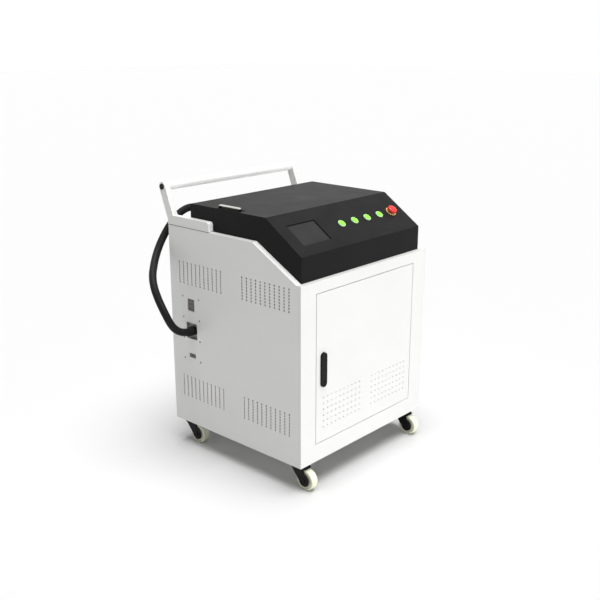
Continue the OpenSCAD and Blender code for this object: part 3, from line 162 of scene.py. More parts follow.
def buildEdgeGroup():
    tree, inputs, outputs = newGroup("edgeWear", [("Vector", "Vector", None), ("Rounded", "Vector", None),
                                                  ("Amount", "Float", 0.5)], [("Mask", "Float")])
    face = tree.nodes.new("ShaderNodeNewGeometry")
    compare = tree.nodes.new("ShaderNodeVectorMath")
    compare.operation = "DOT_PRODUCT"
    tree.links.new(inputs.outputs["Rounded"], compare.inputs[0])
    tree.links.new(face.outputs["Normal"], compare.inputs[1])
    edge = addRange(tree, addMath(tree, "SUBTRACT", 1.0, compare.outputs["Value"]), *edgeWear["bend"])
    broken = addRange(tree, addNoise(tree, inputs.outputs["Vector"], **edgeWear["noise"]), *edgeWear["broken"])
    mask = addMath(tree, "MULTIPLY", addMath(tree, "MULTIPLY", edge, broken), inputs.outputs["Amount"], clamp=True)
    tree.links.new(mask, outputs.inputs["Mask"])
    return tree


# Thin dust that settles where a face looks up
dustFilm = {"upward": (0.35, 0.95), "least": 0.15, "noise": {"scale": 11.0, "detail": 6.0, "rough": 0.7},
            "spread": (0.35, 0.75), "colour": (0.5, 0.48, 0.45), "addedRough": 0.35}


def buildDustGroup():
    tree, inputs, outputs = newGroup("dustFilm", [("Vector", "Vector", None), ("Amount", "Float", 0.2)],
                                     [("Mask", "Float")])
    face = tree.nodes.new("ShaderNodeNewGeometry")
    parts = tree.nodes.new("ShaderNodeSeparateXYZ")
    tree.links.new(face.outputs["Normal"], parts.inputs[0])
    upward = addRange(tree, parts.outputs["Z"], *dustFilm["upward"], dustFilm["least"], 1.0)
    spread = addRange(tree, addNoise(tree, inputs.outputs["Vector"], **dustFilm["noise"]), *dustFilm["spread"])
    mask = addMath(tree, "MULTIPLY", addMath(tree, "MULTIPLY", upward, spread), inputs.outputs["Amount"], clamp=True)
    tree.links.new(mask, outputs.inputs["Mask"])
    return tree


# Thin scratches in two directions: stretched noises cut to narrow bands, and only in patches
scuffMarks = {"turns": ((0.3, 0.5, 0.9), (1.1, -0.6, 0.2)), "scales": ((9.0, 90.0, 40.0), (70.0, 8.0, 50.0)),
              "line": {"scale": 1.0, "detail": 2.0, "rough": 0.4}, "middle": 0.5, "width": 0.006,
              "patch": {"scale": 9.0}, "patches": (0.55, 0.7)}


def buildScuffGroup():
    tree, inputs, outputs = newGroup("scuffMarks", [("Vector", "Vector", None), ("Amount", "Float", 0.3)],
                                     [("Mask", "Float")])
    lines = []
    for turn, scale in zip(scuffMarks["turns"], scuffMarks["scales"]):
        place = tree.nodes.new("ShaderNodeMapping")
        place.inputs["Rotation"].default_value = turn
        place.inputs["Scale"].default_value = scale
        tree.links.new(inputs.outputs["Vector"], place.inputs["Vector"])
        line = addNoise(tree, place.outputs["Vector"], **scuffMarks["line"])
        band = addMath(tree, "ABSOLUTE", addMath(tree, "SUBTRACT", line, scuffMarks["middle"]))
        lines.append(addRange(tree, band, 0.0, scuffMarks["width"], 1.0, 0.0))
    patches = addRange(tree, addNoise(tree, inputs.outputs["Vector"], **scuffMarks["patch"]), *scuffMarks["patches"])
    marks = addMath(tree, "MULTIPLY", addMath(tree, "MAXIMUM", *lines), patches)
    tree.links.new(addMath(tree, "MULTIPLY", marks, inputs.outputs["Amount"], clamp=True), outputs.inputs["Mask"])
    return tree


groups = {"peel": buildPeelGroup(), "brush": buildBrushGroup(), "edge": buildEdgeGroup(), "dust": buildDustGroup(),
          "scuff": buildScuffGroup()}
print("shader groups built")


def placeGroup(tree, key, vector, values):
    node = tree.nodes.new("ShaderNodeGroup")
    node.node_tree = groups[key]
    tree.links.new(vector, node.inputs["Vector"])
    for label, value in values.items():
        node.inputs[label].default_value = value
    return node


def mixColour(tree, mask, first, second):
    node = tree.nodes.new("ShaderNodeMix")
    node.data_type = "RGBA"
    tree.links.new(mask, node.inputs["Factor"])
    for socket, value in ((node.inputs["A"], first), (node.inputs["B"], second)):
        if isinstance(value, (tuple, list)):
            socket.default_value = (*value[:3], 1.0)
        else:
            tree.links.new(value, socket)
    return [o for o in node.outputs if o.type == "RGBA"][0]


# One finish from its dictionary: colour and its second tone, roughness, relief, wear, dust and scuffs.
# Lengths (round, depth) are in metres; wear, dust and scuff run from 0 to 1.
plainLook = {"toneRange": (0.3, 0.7), "round": 0.0012, "roundSamples": 4, "relief": 0.2, "depth": 0.0004,
             "wear": 0, "dust": 0, "scuff": 0, "sockets": {}}


def makeFinish(name, ownLook):
    look = {**plainLook, **ownLook}
    material = bpy.data.materials.new(name)
    material.use_nodes = True
    tree = material.node_tree
    shader = tree.nodes["Principled BSDF"]
    coords = tree.nodes.new("ShaderNodeTexCoord").outputs["Object"]
    if "stretch" in look:
        relief = placeGroup(tree, "brush", coords, {"Scale": look["grain"], "Stretch": look["stretch"]})
    else:
        relief = placeGroup(tree, "peel", coords, {"Scale": look["grain"]})
    colour = mixColour(tree, addRange(tree, relief.outputs["Tone"], *look["toneRange"]), look["colour"], look["tone"])
    rough = addRange(tree, relief.outputs["Tone"], *look["toneRange"], *look["rough"])
    rounded = tree.nodes.new("ShaderNodeBevel")
    rounded.samples = look["roundSamples"]
    rounded.inputs["Radius"].default_value = look["round"]
    if look["scuff"]:
        scuff = placeGroup(tree, "scuff", coords, {"Amount": look["scuff"]})
        colour = mixColour(tree, scuff.outputs["Mask"], colour, look["wornColour"])
    if look["dust"]:
        dust = placeGroup(tree, "dust", coords, {"Amount": look["dust"]}).outputs["Mask"]
        colour = mixColour(tree, dust, colour, dustFilm["colour"])
        rough = addMath(tree, "ADD", rough, addMath(tree, "MULTIPLY", dust, dustFilm["addedRough"]), clamp=True)
    if look["wear"]:
        edge = placeGroup(tree, "edge", coords, {"Amount": look["wear"]})
        tree.links.new(rounded.outputs["Normal"], edge.inputs["Rounded"])
        colour = mixColour(tree, edge.outputs["Mask"], colour, look["wornColour"])
    tree.links.new(colour, shader.inputs["Base Color"])
    tree.links.new(rough, shader.inputs["Roughness"])
    bump = tree.nodes.new("ShaderNodeBump")
    bump.inputs["Strength"].default_value = look["relief"]
    bump.inputs["Distance"].default_value = look["depth"]
    tree.links.new(relief.outputs["Height"], bump.inputs["Height"])
    tree.links.new(rounded.outputs["Normal"], bump.inputs["Normal"])
    tree.links.new(bump.outputs["Normal"], shader.inputs["Normal"])
    for label, value in look["sockets"].items():
        shader.inputs[label].default_value = value
    return material


def dress(material, *nodeNames):
    for nodeName in nodeNames:
        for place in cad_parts[nodeName].material_slots:
            place.material = material


# Hose: from the port, up behind the cabinet, round the coil on its saddle, and down to the head

hose = {
    "radius": 14.0,
    "length": 5.08,
    "fromPort": [(-350, 217, 472), (-358, 217, 472), (-385, 216, 476), (-412, 214, 487), (-436, 212, 505),
                 (-455, 210, 529), (-470, 212, 560), (-480, 221, 592), (-483, 241, 629), (-475, 268, 663),
                 (-455, 297, 691), (-428, 324, 712), (-399, 348, 736), (-369, 365, 766), (-338, 372, 803),
                 (-306, 374, 838), (-268, 376, 869), (-226, 378, 888), (-188, 378, 892), (-151, 377, 886),
                 (-116, 376, 868), (-80, 375, 850), (-44, 374, 844), (-28, 374, 844)],
    "coilRadius": 182.0, "coilPitch": 29.0, "coilTurns": 1.75, "coilDip": 5.0, "coilHeight": 662.0,
    "ringsPerTurn": 24, "outerLayer": 374.0,
    "toHead": [(28, 345, 844), (64, 345, 844), (110, 346, 840), (152, 348, 829), (188, 351, 810), (216, 353, 784),
               (236, 356, 754), (246, 359, 726), (250, 360, 702), (250, 360, 689)],
    "curveSteps": 3, "bevelSteps": 5,
}


# The coil winds inwards in its rear layer, crosses to the front layer in half a turn, and winds outwards there
def coilPoint(i):
    perTurn = hose["ringsPerTurn"]
    layer = hose["coilTurns"] * perTurn
    cross = perTurn / 2
    angle = math.radians(90 - i * 360 / perTurn)
    inward, outward = min(i, layer), max(i - layer - cross, 0)
    u = min(max((i - layer) / cross, 0), 1)
    r = hose["coilRadius"] - hose["coilPitch"] * (inward - outward) / perTurn - 4 * hose["coilDip"] * u * (1 - u)
    return (r * math.cos(angle), hose["outerLayer"] - hose["coilPitch"] * u * u * (3 - 2 * u),
            hose["coilHeight"] + r * math.sin(angle))


def makeHose(material):
    lastRing = int(2 * hose["coilTurns"] * hose["ringsPerTurn"] + hose["ringsPerTurn"] / 2)
    points = hose["fromPort"] + [coilPoint(i) for i in range(lastRing + 1)] + hose["toHead"]
    curve = bpy.data.curves.new("hose", "CURVE")
    curve.dimensions = "3D"
    curve.resolution_u = hose["curveSteps"]
    curve.bevel_depth = mm(hose["radius"])
    curve.bevel_resolution = hose["bevelSteps"]
    curve.use_fill_caps = True
    spline = curve.splines.new("BEZIER")
    spline.bezier_points.add(len(points) - 1)
    for knot, point in zip(spline.bezier_points, points):
        knot.co = spot(*point)
        knot.handle_left_type = knot.handle_right_type = "AUTO"
    piece = bpy.data.objects.new("hose", curve)
    bpy.context.collection.objects.link(piece)
    curve.materials.append(material)
    print("hose is", round(spline.calc_length(), 3), "m long")
    return piece


hoseRubber = makeFinish("hoseRubber", {
    "colour": (0.006, 0.006, 0.0064), "tone": (0.010, 0.010, 0.0105), "rough": (0.4, 0.58), "grain": 1400.0,
    "relief": 0.12, "depth": 0.0003, "dust": 0.02, "scuff": 0.15, "wornColour": (0.03, 0.03, 0.03),
    "sockets": {"Specular IOR Level": 0.12}})
hosePiece = makeHose(hoseRubber)
print("hose laid")


# Helpers for the pieces made here; places and sizes are in the cabinet's millimetres

weldDistance = mm(0.005)
toLeft, toRight, toFront, toBack, toTop = (-1, 0, 0), (1, 0, 0), (0, -1, 0), (0, 1, 0), (0, 0, 1)


# An object from a bmesh, smooth but for its sharp edges, with its material, body and slot
def finishPiece(name, bm, material, body, smoothAngle=35.0):
    mesh = bpy.data.meshes.new(name)
    bm.to_mesh(mesh)
    bm.free()
    for face in mesh.polygons:
        face.use_smooth = True
    mesh.set_sharp_from_angle(angle=math.radians(smoothAngle))
    mesh.materials.append(material)
    piece = bpy.data.objects.new(name, mesh)
    bpy.context.collection.objects.link(piece)
    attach(piece, body)
    return piece


# Every vertex that hangs together with the given ones
def growIsland(seeds):
    found, todo = set(seeds), list(seeds)
    while todo:
        for edge in todo.pop().link_edges:
            for vert in edge.verts:
                if vert not in found:
                    found.add(vert)
                    todo.append(vert)
    return list(found)


# Turns +Z towards a direction at a place
def aimed(place, direction):
    return Matrix.Translation(place) @ Vector(direction).to_track_quat("Z", "Y").to_matrix().to_4x4()


# A turned shape from its (radius, height) profile, standing on a place and pointing along a direction
def addTurned(bm, middle, direction, profile, steps=32):
    verts = [bm.verts.new((mm(radius), 0.0, mm(height))) for radius, height in profile]
    edges = [bm.edges.new(pair) for pair in zip(verts, verts[1:])]
    made = bmesh.ops.spin(bm, geom=verts + edges, cent=(0, 0, 0), axis=(0, 0, 1), angle=2 * math.pi, steps=steps,
                          use_merge=True, use_duplicate=False)
    lastVerts = [item for item in made["geom_last"] if isinstance(item, bmesh.types.BMVert)]
    island = growIsland(verts + lastVerts)
    bmesh.ops.remove_doubles(bm, verts=island, dist=weldDistance)
    island = [v for v in island if v.is_valid]
    bmesh.ops.recalc_face_normals(bm, faces=list({f for v in island for f in v.link_faces}))
    bmesh.ops.transform(bm, matrix=aimed(spot(*middle), direction), verts=island)


# A block with rounded edges
def addBlock(bm, middle, size, bevel, segments=2, turn=None):
    place = Matrix.Translation(spot(*middle))
    if turn is not None:
        place = place @ turn
    made = bmesh.ops.create_cube(bm, size=1.0, matrix=place @ Matrix.Diagonal((*[mm(c) for c in size], 1.0)))["verts"]
    edges = list({edge for vert in made for edge in vert.link_edges})
    bmesh.ops.bevel(bm, geom=edges, offset=mm(bevel), segments=segments, profile=0.5, affect="EDGES", material=-1,
                    clamp_overlap=True)


# Ribbed rubber sleeves where the hose leaves the port and the head; bore, thick and thin are radii

sleeve = {"bore": 14.1, "thick": 17.6, "thin": 15.0, "length": 28.0, "ribs": 5, "groove": 0.8, "rounding": 0.1,
          "grooveShares": (0.62, 0.72, 0.9), "endStep": 0.4, "steps": 40}


def makeSleeve(name, middle, direction):
    profile = [(sleeve["bore"], 0.0), (sleeve["thick"], 0.0)]
    step = sleeve["length"] / sleeve["ribs"]
    start, low, end = sleeve["grooveShares"]
    for i in range(sleeve["ribs"]):
        taper = (i + 0.5) / sleeve["ribs"]
        radius = sleeve["thick"] + (sleeve["thin"] - sleeve["thick"]) * taper
        profile += [(radius, (i + start) * step), (radius - sleeve["groove"], (i + low) * step),
                    (radius - sleeve["groove"], (i + end) * step), (radius - sleeve["rounding"], (i + 1.0) * step)]
    profile += [(sleeve["bore"], sleeve["length"] + sleeve["endStep"]), (sleeve["bore"], 0.0)]
    bm = bmesh.new()
    addTurned(bm, middle, direction, profile, sleeve["steps"])
    return finishPiece(name, bm, hoseRubber, "cabinet")


portSleeve = makeSleeve("portSleeve", (-343, 217, 472), toLeft)
headSleeve = makeSleeve("headSleeve", (250, 360, 686), toTop)

# Straps that tie the coil's turns together, one at each lower side; inner and outer count from the coil's middle

strap = {"inner": 118.5, "outer": 187.5, "front": 328.6, "rear": 390.4, "corner": 13.0, "width": 24.0,
         "thickness": 1.4, "angles": (225.0, 315.0), "segments": 48, "smoothAngle": 60.0}
webbing = makeFinish("strapWebbing", {
    "colour": (0.03, 0.03, 0.032), "tone": (0.05, 0.05, 0.052), "rough": (0.75, 0.9), "grain": 260.0,
    "stretch": (1.0, 1.0, 6.0), "relief": 0.6, "depth": 0.0006, "dust": 0.15})


# A circle pulled apart into a rounded oblong round both layers of the coil, then drawn out to the strap's width
def makeStraps():
    bm = bmesh.new()
    corner = mm(strap["corner"])
    pull = (mm(strap["outer"] - strap["inner"]) / 2 - corner, mm(strap["rear"] - strap["front"]) / 2 - corner)
    halfStep = Matrix.Rotation(math.radians(180 / strap["segments"]), 4, "Z")
    for angle in strap["angles"]:
        turn = math.radians(angle)
        radial, depth = Vector((math.cos(turn), 0, math.sin(turn))), Vector((0, 1, 0))
        centre = spot(0, (strap["front"] + strap["rear"]) / 2, hose["coilHeight"])
        centre += radial * (mm(strap["inner"] + strap["outer"]) / 2)
        place = Matrix.Translation(centre) @ Matrix((radial, depth, radial.cross(depth))).transposed().to_4x4()
        loop = bmesh.ops.create_circle(bm, segments=strap["segments"], radius=corner, matrix=halfStep)["verts"]
        for vert in loop:
            vert.co.x += math.copysign(pull[0], vert.co.x)
            vert.co.y += math.copysign(pull[1], vert.co.y)
            vert.co.z = -mm(strap["width"]) / 2
        edges = list({e for v in loop for e in v.link_edges})
        made = bmesh.ops.extrude_edge_only(bm, edges=edges)["geom"]
        top = [item for item in made if isinstance(item, bmesh.types.BMVert)]
        bmesh.ops.translate(bm, verts=top, vec=(0, 0, mm(strap["width"])))
        bmesh.ops.transform(bm, matrix=place, verts=loop + top)
    bmesh.ops.recalc_face_normals(bm, faces=bm.faces)
    piece = finishPiece("coilStraps", bm, webbing, "cabinet", strap["smoothAngle"])
    walls = piece.modifiers.new("thickness", "SOLIDIFY")
    walls.thickness = mm(strap["thickness"])
    walls.offset = 1.0
    return piece


coilStraps = makeStraps()

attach(hosePiece, "cabinet")
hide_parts("hose_lead", "hose_coil", "hose_tail")
print("hose sleeves and straps made")


# Finishes of the cabinet

whiteCoat = makeFinish("whiteCoat", {
    "colour": (0.76, 0.76, 0.748), "tone": (0.79, 0.79, 0.777), "rough": (0.38, 0.48), "grain": 1100.0, "relief": 0.09,
    "depth": 0.00025, "wear": 0.10, "dust": 0.03, "scuff": 0.05, "wornColour": (0.5, 0.5, 0.49),
    "sockets": {"Coat Weight": 0.12, "Coat Roughness": 0.3}})
dress(whiteCoat, "base_tray", "left_panel", "right_panel", "front_frame", "rear_panel", "rear_deck", "door_panel",
      "handle_arms")

# The cross bar has the same white coat as the arms; its colour is made lighter to stand in for the light on its round
# top: a painted highlight
barCoatPaintedLight = makeFinish("barCoatPaintedLight", {
    "colour": (0.90, 0.90, 0.89), "tone": (0.93, 0.93, 0.92), "rough": (0.3, 0.4), "grain": 900.0, "relief": 0.05,
    "wear": 0.08, "dust": 0.02, "wornColour": (0.6, 0.6, 0.59),
    "sockets": {"Coat Weight": 0.5, "Coat Roughness": 0.15}})
dress(barCoatPaintedLight, "handle_bar")

blackCoat = makeFinish("blackCoat", {
    "colour": (0.0055, 0.0055, 0.0057), "tone": (0.0085, 0.0085, 0.0087), "rough": (0.42, 0.54), "grain": 1500.0,
    "relief": 0.3, "depth": 0.0003, "wear": 0.25, "dust": 0.015, "scuff": 0.04, "wornColour": (0.05, 0.05, 0.05),
    "sockets": {"Specular IOR Level": 0.09}})
dress(blackCoat, "console_cover")

bracketPaint = makeFinish("bracketPaint", {
    "colour": (0.035, 0.035, 0.036), "tone": (0.048, 0.048, 0.05), "rough": (0.4, 0.55), "grain": 1000.0,
    "relief": 0.2, "wear": 0.5, "dust": 0.12, "scuff": 0.2, "wornColour": (0.3, 0.3, 0.3)})
dress(bracketPaint, "storage_bracket")

portPlatePaint = makeFinish("portPlatePaint", {
    "colour": (0.36, 0.38, 0.35), "tone": (0.42, 0.44, 0.41), "rough": (0.45, 0.6), "grain": 900.0, "relief": 0.15,
    "wear": 0.3, "dust": 0.1, "wornColour": (0.45, 0.45, 0.44)})
dress(portPlatePaint, "connector_plate")

# Plastics

darkPlastic = makeFinish("darkPlastic", {
    "colour": (0.008, 0.008, 0.0084), "tone": (0.013, 0.013, 0.0135), "rough": (0.42, 0.58), "grain": 700.0,
    "relief": 0.25, "wear": 0.3, "dust": 0.06, "wornColour": (0.08, 0.08, 0.08),
    "sockets": {"Specular IOR Level": 0.14}})
dress(darkPlastic, "screen_bezel", "switch_blocks", "handle_plugs", "fan_frame", "fan_rotor", "hose_gland")

glossBlack = makeFinish("glossBlack", {
    "colour": (0.006, 0.006, 0.0065), "tone": (0.009, 0.009, 0.0095), "rough": (0.25, 0.36), "grain": 400.0,
    "relief": 0.05, "wear": 0.15, "scuff": 0.2, "wornColour": (0.05, 0.05, 0.05),
    "sockets": {"Specular IOR Level": 0.09}})
dress(glossBlack, "latch_body", "latch_paddle")

breakerPlastic = makeFinish("breakerPlastic", {
    "colour": (0.17, 0.15, 0.14), "tone": (0.20, 0.178, 0.168), "rough": (0.5, 0.62), "grain": 800.0,
    "relief": 0.2, "wear": 0.2, "dust": 0.1, "wornColour": (0.3, 0.28, 0.27)})
dress(breakerPlastic, "breaker_body")

togglePlastic = makeFinish("togglePlastic", {
    "colour": (0.10, 0.088, 0.084), "tone": (0.13, 0.115, 0.11), "rough": (0.4, 0.52), "grain": 800.0,
    "relief": 0.1, "wear": 0.3, "dust": 0.08, "wornColour": (0.25, 0.23, 0.22)})
dress(togglePlastic, "breaker_toggle", "data_port")

displayGrey = makeFinish("displayGrey", {
    "colour": (0.05, 0.052, 0.055), "tone": (0.07, 0.072, 0.075), "rough": (0.45, 0.6), "grain": 600.0,
    "relief": 0.15})
dress(displayGrey, "display_module")

bezelPale = makeFinish("bezelPale", {
    "colour": (0.46, 0.76, 0.34), "tone": (0.52, 0.80, 0.40), "rough": (0.22, 0.34), "grain": 500.0, "relief": 0.05,
    "dust": 0.05, "round": 0.0006})
dress(bezelPale, "button_bezels")

# Green caps of the lit buttons glow faintly of their own; the laser's lamps and the control unit's terminal blocks
# share this finish
greenCap = makeFinish("greenCap", {
    "colour": (0.21, 0.62, 0.03), "tone": (0.25, 0.68, 0.045), "rough": (0.2, 0.32), "grain": 500.0, "relief": 0.04,
    "round": 0.0005,
    "sockets": {"Emission Color": (0.25, 0.85, 0.08, 1.0), "Emission Strength": 0.25, "Specular IOR Level": 0.35}})
dress(greenCap, "button_1", "button_2", "button_3", "button_4")

redCap = makeFinish("redCap", {
    "colour": (0.72, 0.025, 0.02), "tone": (0.80, 0.035, 0.028), "rough": (0.26, 0.38), "grain": 500.0,
    "relief": 0.05, "wear": 0.12, "wornColour": (0.85, 0.3, 0.28),
    "sockets": {"Specular IOR Level": 0.35}})
dress(redCap, "stop_head", "head_trigger")

tankPlastic = makeFinish("tankPlastic", {
    "colour": (0.62, 0.68, 0.72), "tone": (0.68, 0.73, 0.76), "rough": (0.35, 0.5), "grain": 160.0, "relief": 0.15,
    "depth": 0.0008, "dust": 0.15})
dress(tankPlastic, "water_tank")

wheelCream = makeFinish("wheelCream", {
    "colour": (0.82, 0.83, 0.63), "tone": (0.87, 0.88, 0.70), "rough": (0.35, 0.5), "grain": 300.0, "relief": 0.1,
    "dust": 0.1, "scuff": 0.35, "wornColour": (0.45, 0.44, 0.38)})
corners = ("front_left", "front_right", "rear_left", "rear_right")
dress(wheelCream, *("wheel_" + corner for corner in corners))

# Metals

casterBlack = makeFinish("casterBlack", {
    "colour": (0.007, 0.007, 0.0075), "tone": (0.013, 0.013, 0.0135), "rough": (0.32, 0.5), "grain": 600.0,
    "relief": 0.2, "wear": 0.5, "dust": 0.06, "scuff": 0.15, "wornColour": (0.16, 0.16, 0.16),
    "sockets": {"Specular IOR Level": 0.1}})
dress(casterBlack, "caster_plates", *("fork_" + corner for corner in corners))

greySteel = makeFinish("greySteel", {
    "colour": (0.42, 0.43, 0.44), "tone": (0.56, 0.57, 0.58), "rough": (0.28, 0.42), "grain": 40.0,
    "stretch": (1.0, 30.0, 30.0), "relief": 0.1, "depth": 0.0002, "dust": 0.08, "sockets": {"Metallic": 1.0}})
dress(greySteel, "door_pins", "latch_cam", "fan_guard")

brightSteel = makeFinish("brightSteel", {
    "colour": (0.62, 0.61, 0.56), "tone": (0.74, 0.73, 0.67), "rough": (0.16, 0.28), "grain": 50.0,
    "stretch": (24.0, 1.0, 24.0), "relief": 0.05, "depth": 0.0002, "dust": 0.04, "sockets": {"Metallic": 1.0}})
dress(brightSteel, "lift_bar")

screwSteel = makeFinish("screwSteel", {
    "colour": (0.20, 0.20, 0.205), "tone": (0.28, 0.28, 0.285), "rough": (0.35, 0.5), "grain": 300.0, "relief": 0.1,
    "dust": 0.05, "sockets": {"Metallic": 0.8}})
dress(screwSteel, "connector_screws")

galvanised = makeFinish("galvanised", {
    "colour": (0.48, 0.50, 0.52), "tone": (0.64, 0.65, 0.66), "rough": (0.3, 0.5), "grain": 90.0, "relief": 0.08,
    "dust": 0.12, "scuff": 0.2, "wornColour": (0.75, 0.75, 0.75), "sockets": {"Metallic": 1.0}})
dress(galvanised, "equipment_shelf")

goldRing = makeFinish("goldRing", {
    "colour": (0.66, 0.45, 0.16), "tone": (0.74, 0.53, 0.22), "rough": (0.3, 0.42), "grain": 500.0, "relief": 0.06,
    "dust": 0.05, "round": 0.0006, "sockets": {"Metallic": 0.6}})
dress(goldRing, "stop_ring")

laserCase = makeFinish("laserCase", {
    "colour": (0.12, 0.13, 0.15), "tone": (0.17, 0.18, 0.20), "rough": (0.35, 0.5), "grain": 900.0, "relief": 0.1,
    "wear": 0.4, "dust": 0.2, "wornColour": (0.5, 0.5, 0.5), "sockets": {"Metallic": 0.7}})
dress(laserCase, "laser_source")

controlCase = makeFinish("controlCase", {
    "colour": (0.20, 0.22, 0.20), "tone": (0.27, 0.29, 0.27), "rough": (0.4, 0.55), "grain": 60.0,
    "stretch": (1.0, 20.0, 20.0), "relief": 0.1, "wear": 0.3, "dust": 0.15, "wornColour": (0.5, 0.5, 0.5),
    "sockets": {"Metallic": 0.6}})
dress(controlCase, "control_unit")

supplyCase = makeFinish("supplyCase", {
    "colour": (0.46, 0.47, 0.48), "tone": (0.60, 0.61, 0.62), "rough": (0.3, 0.45), "grain": 50.0,
    "stretch": (20.0, 1.0, 20.0), "relief": 0.08, "dust": 0.2, "sockets": {"Metallic": 0.9}})
dress(supplyCase, "power_supply")

pumpPaint = makeFinish("pumpPaint", {
    "colour": (0.035, 0.055, 0.12), "tone": (0.05, 0.075, 0.15), "rough": (0.35, 0.55), "grain": 220.0,
    "relief": 0.35, "depth": 0.0008, "wear": 0.5, "dust": 0.2, "wornColour": (0.35, 0.35, 0.36)})
dress(pumpPaint, "water_pump")

radiatorAlloy = makeFinish("radiatorAlloy", {
    "colour": (0.44, 0.45, 0.47), "tone": (0.58, 0.59, 0.60), "rough": (0.35, 0.5), "grain": 120.0,
    "stretch": (20.0, 20.0, 1.0), "relief": 0.2, "dust": 0.2, "sockets": {"Metallic": 0.9}})
dress(radiatorAlloy, "radiator")

headAlloy = makeFinish("headAlloy", {
    "colour": (0.022, 0.022, 0.025), "tone": (0.035, 0.035, 0.038), "rough": (0.32, 0.45), "grain": 900.0,
    "relief": 0.12, "wear": 0.5, "dust": 0.06, "scuff": 0.15, "wornColour": (0.3, 0.3, 0.31),
    "sockets": {"Metallic": 0.5}})
dress(headAlloy, "head_body")

nozzleBrass = makeFinish("nozzleBrass", {
    "colour": (0.60, 0.42, 0.18), "tone": (0.70, 0.52, 0.25), "rough": (0.22, 0.36), "grain": 60.0,
    "stretch": (1.0, 1.0, 40.0), "relief": 0.15, "depth": 0.0002, "wear": 0.3, "wornColour": (0.3, 0.25, 0.2),
    "sockets": {"Metallic": 1.0}})
dress(nozzleBrass, "head_nozzle")

drawerAlloy = makeFinish("drawerAlloy", {
    "colour": (0.38, 0.40, 0.43), "tone": (0.46, 0.48, 0.52), "rough": (0.28, 0.4), "grain": 50.0,
    "stretch": (30.0, 30.0, 1.0), "relief": 0.08, "wear": 0.2, "wornColour": (0.7, 0.7, 0.72),
    "sockets": {"Metallic": 0.9}})
dress(drawerAlloy, "lens_drawer")

# Screen: dark coated glass with a faint film of finger grease
screenGlass = makeFinish("screenGlass", {
    "colour": (0.016, 0.016, 0.0165), "tone": (0.021, 0.021, 0.0215), "rough": (0.14, 0.3), "grain": 30.0,
    "relief": 0.01, "depth": 0.0001, "dust": 0.02, "round": 0.0003, "sockets": {"Specular IOR Level": 0.14}})
dress(screenGlass, "screen_glass")
print("finishes given to every node")


# Small fasteners of the rear panel, the bracket, the fan's guard and the cover

fastener = {"radius": 4.4, "height": 2.4, "socketRadius": 1.9, "socketDepth": 1.6, "socketEdge": (0.15, 0.1),
            "dome": ((0.62, 0.96), (0.85, 0.8), (0.97, 0.5), (1.0, 0.2), (1.0, 0.0)), "steps": 20}


# A domed screw that faces back; dome holds shares of the radius and the height
def addScrew(bm, middle, scale=1.0):
    r, h = fastener["radius"] * scale, fastener["height"] * scale
    s, d = fastener["socketRadius"] * scale, fastener["socketDepth"] * scale
    out, down = fastener["socketEdge"]
    profile = [(0.0, h - d), (s, h - d), (s, h - down), (s + out, h)]
    profile += [(r * across, h * up) for across, up in fastener["dome"]]
    addTurned(bm, middle, toBack, profile, fastener["steps"])


def makeScrews(name, middles, material, scale=1.0):
    bm = bmesh.new()
    for middle in middles:
        addScrew(bm, middle, scale)
    finishPiece(name, bm, material, "cabinet")


rearScrews = {"xs": (-338, -169, 0, 169, 338), "rowZs": (112, 846), "sideXs": (-338, 338), "sideZs": (300, 480, 660),
              "y": 325.0}
rearPlaces = [(x, rearScrews["y"], z) for x in rearScrews["xs"] for z in rearScrews["rowZs"]]
rearPlaces += [(x, rearScrews["y"], z) for x in rearScrews["sideXs"] for z in rearScrews["sideZs"]]
makeScrews("rearPanelScrews", rearPlaces, brightSteel)

bracketScrews = {"xs": (233, 267), "zs": (432, 482), "y": 328.0, "scale": 0.85}
makeScrews("bracketScrews", [(x, bracketScrews["y"], z) for z in bracketScrews["zs"] for x in bracketScrews["xs"]],
           brightSteel, bracketScrews["scale"])

guardScrews = {"xs": (83, 247), "zs": (180, 344), "y": 325.0, "screwY": 326.1,
               "washer": {"profile": [(0, 1.1), (7.1, 1.1), (7.5, 0.7), (7.5, 0)], "steps": 28}}


def makeGuardScrews():
    bm = bmesh.new()
    for x in guardScrews["xs"]:
        for z in guardScrews["zs"]:
            addTurned(bm, (x, guardScrews["y"], z), toBack, **guardScrews["washer"])
            addScrew(bm, (x, guardScrews["screwY"], z))
    finishPiece("guardScrews", bm, brightSteel, "cabinet")


makeGuardScrews()

coverScrews = {"xs": (-300, -100, 100, 300), "y": 227.0, "z": 878}
makeScrews("coverScrews", [(x, coverScrews["y"], coverScrews["z"]) for x in coverScrews["xs"]], blackCoat)
print("fasteners made")


# Trim of the cabinet: dark strips under the handle's feet, the door's seal and filter mats, the lift bar's dark plate;
# the strips and the plate are painted shadow

sealRubberAndFootShade = makeFinish("sealRubberAndFootShade", {
    "colour": (0.10, 0.10, 0.098), "tone": (0.13, 0.13, 0.127), "rough": (0.6, 0.75), "grain": 700.0, "relief": 0.2,
    "dust": 0.1})

# Dark strips where the handle's feet meet the panel tops stand in for the shadow line under the feet: painted shade.
# They share the door seal's rubber finish
footShadowStrip = {"xs": (-338.5, 338.5), "y": 218.3, "z": 859.3, "block": {"size": (24.4, 218.6, 2.0), "bevel": 0.5}}
bm = bmesh.new()
for x in footShadowStrip["xs"]:
    addBlock(bm, (x, footShadowStrip["y"], footShadowStrip["z"]), **footShadowStrip["block"])
finishPiece("footShadowStrips", bm, sealRubberAndFootShade, "cabinet")

doorSeal = {"halfWidth": 274.4, "low": 161.6, "high": 706.4, "width": 7.0, "y": -303.6, "depth": 3.8, "bevel": 1.4}


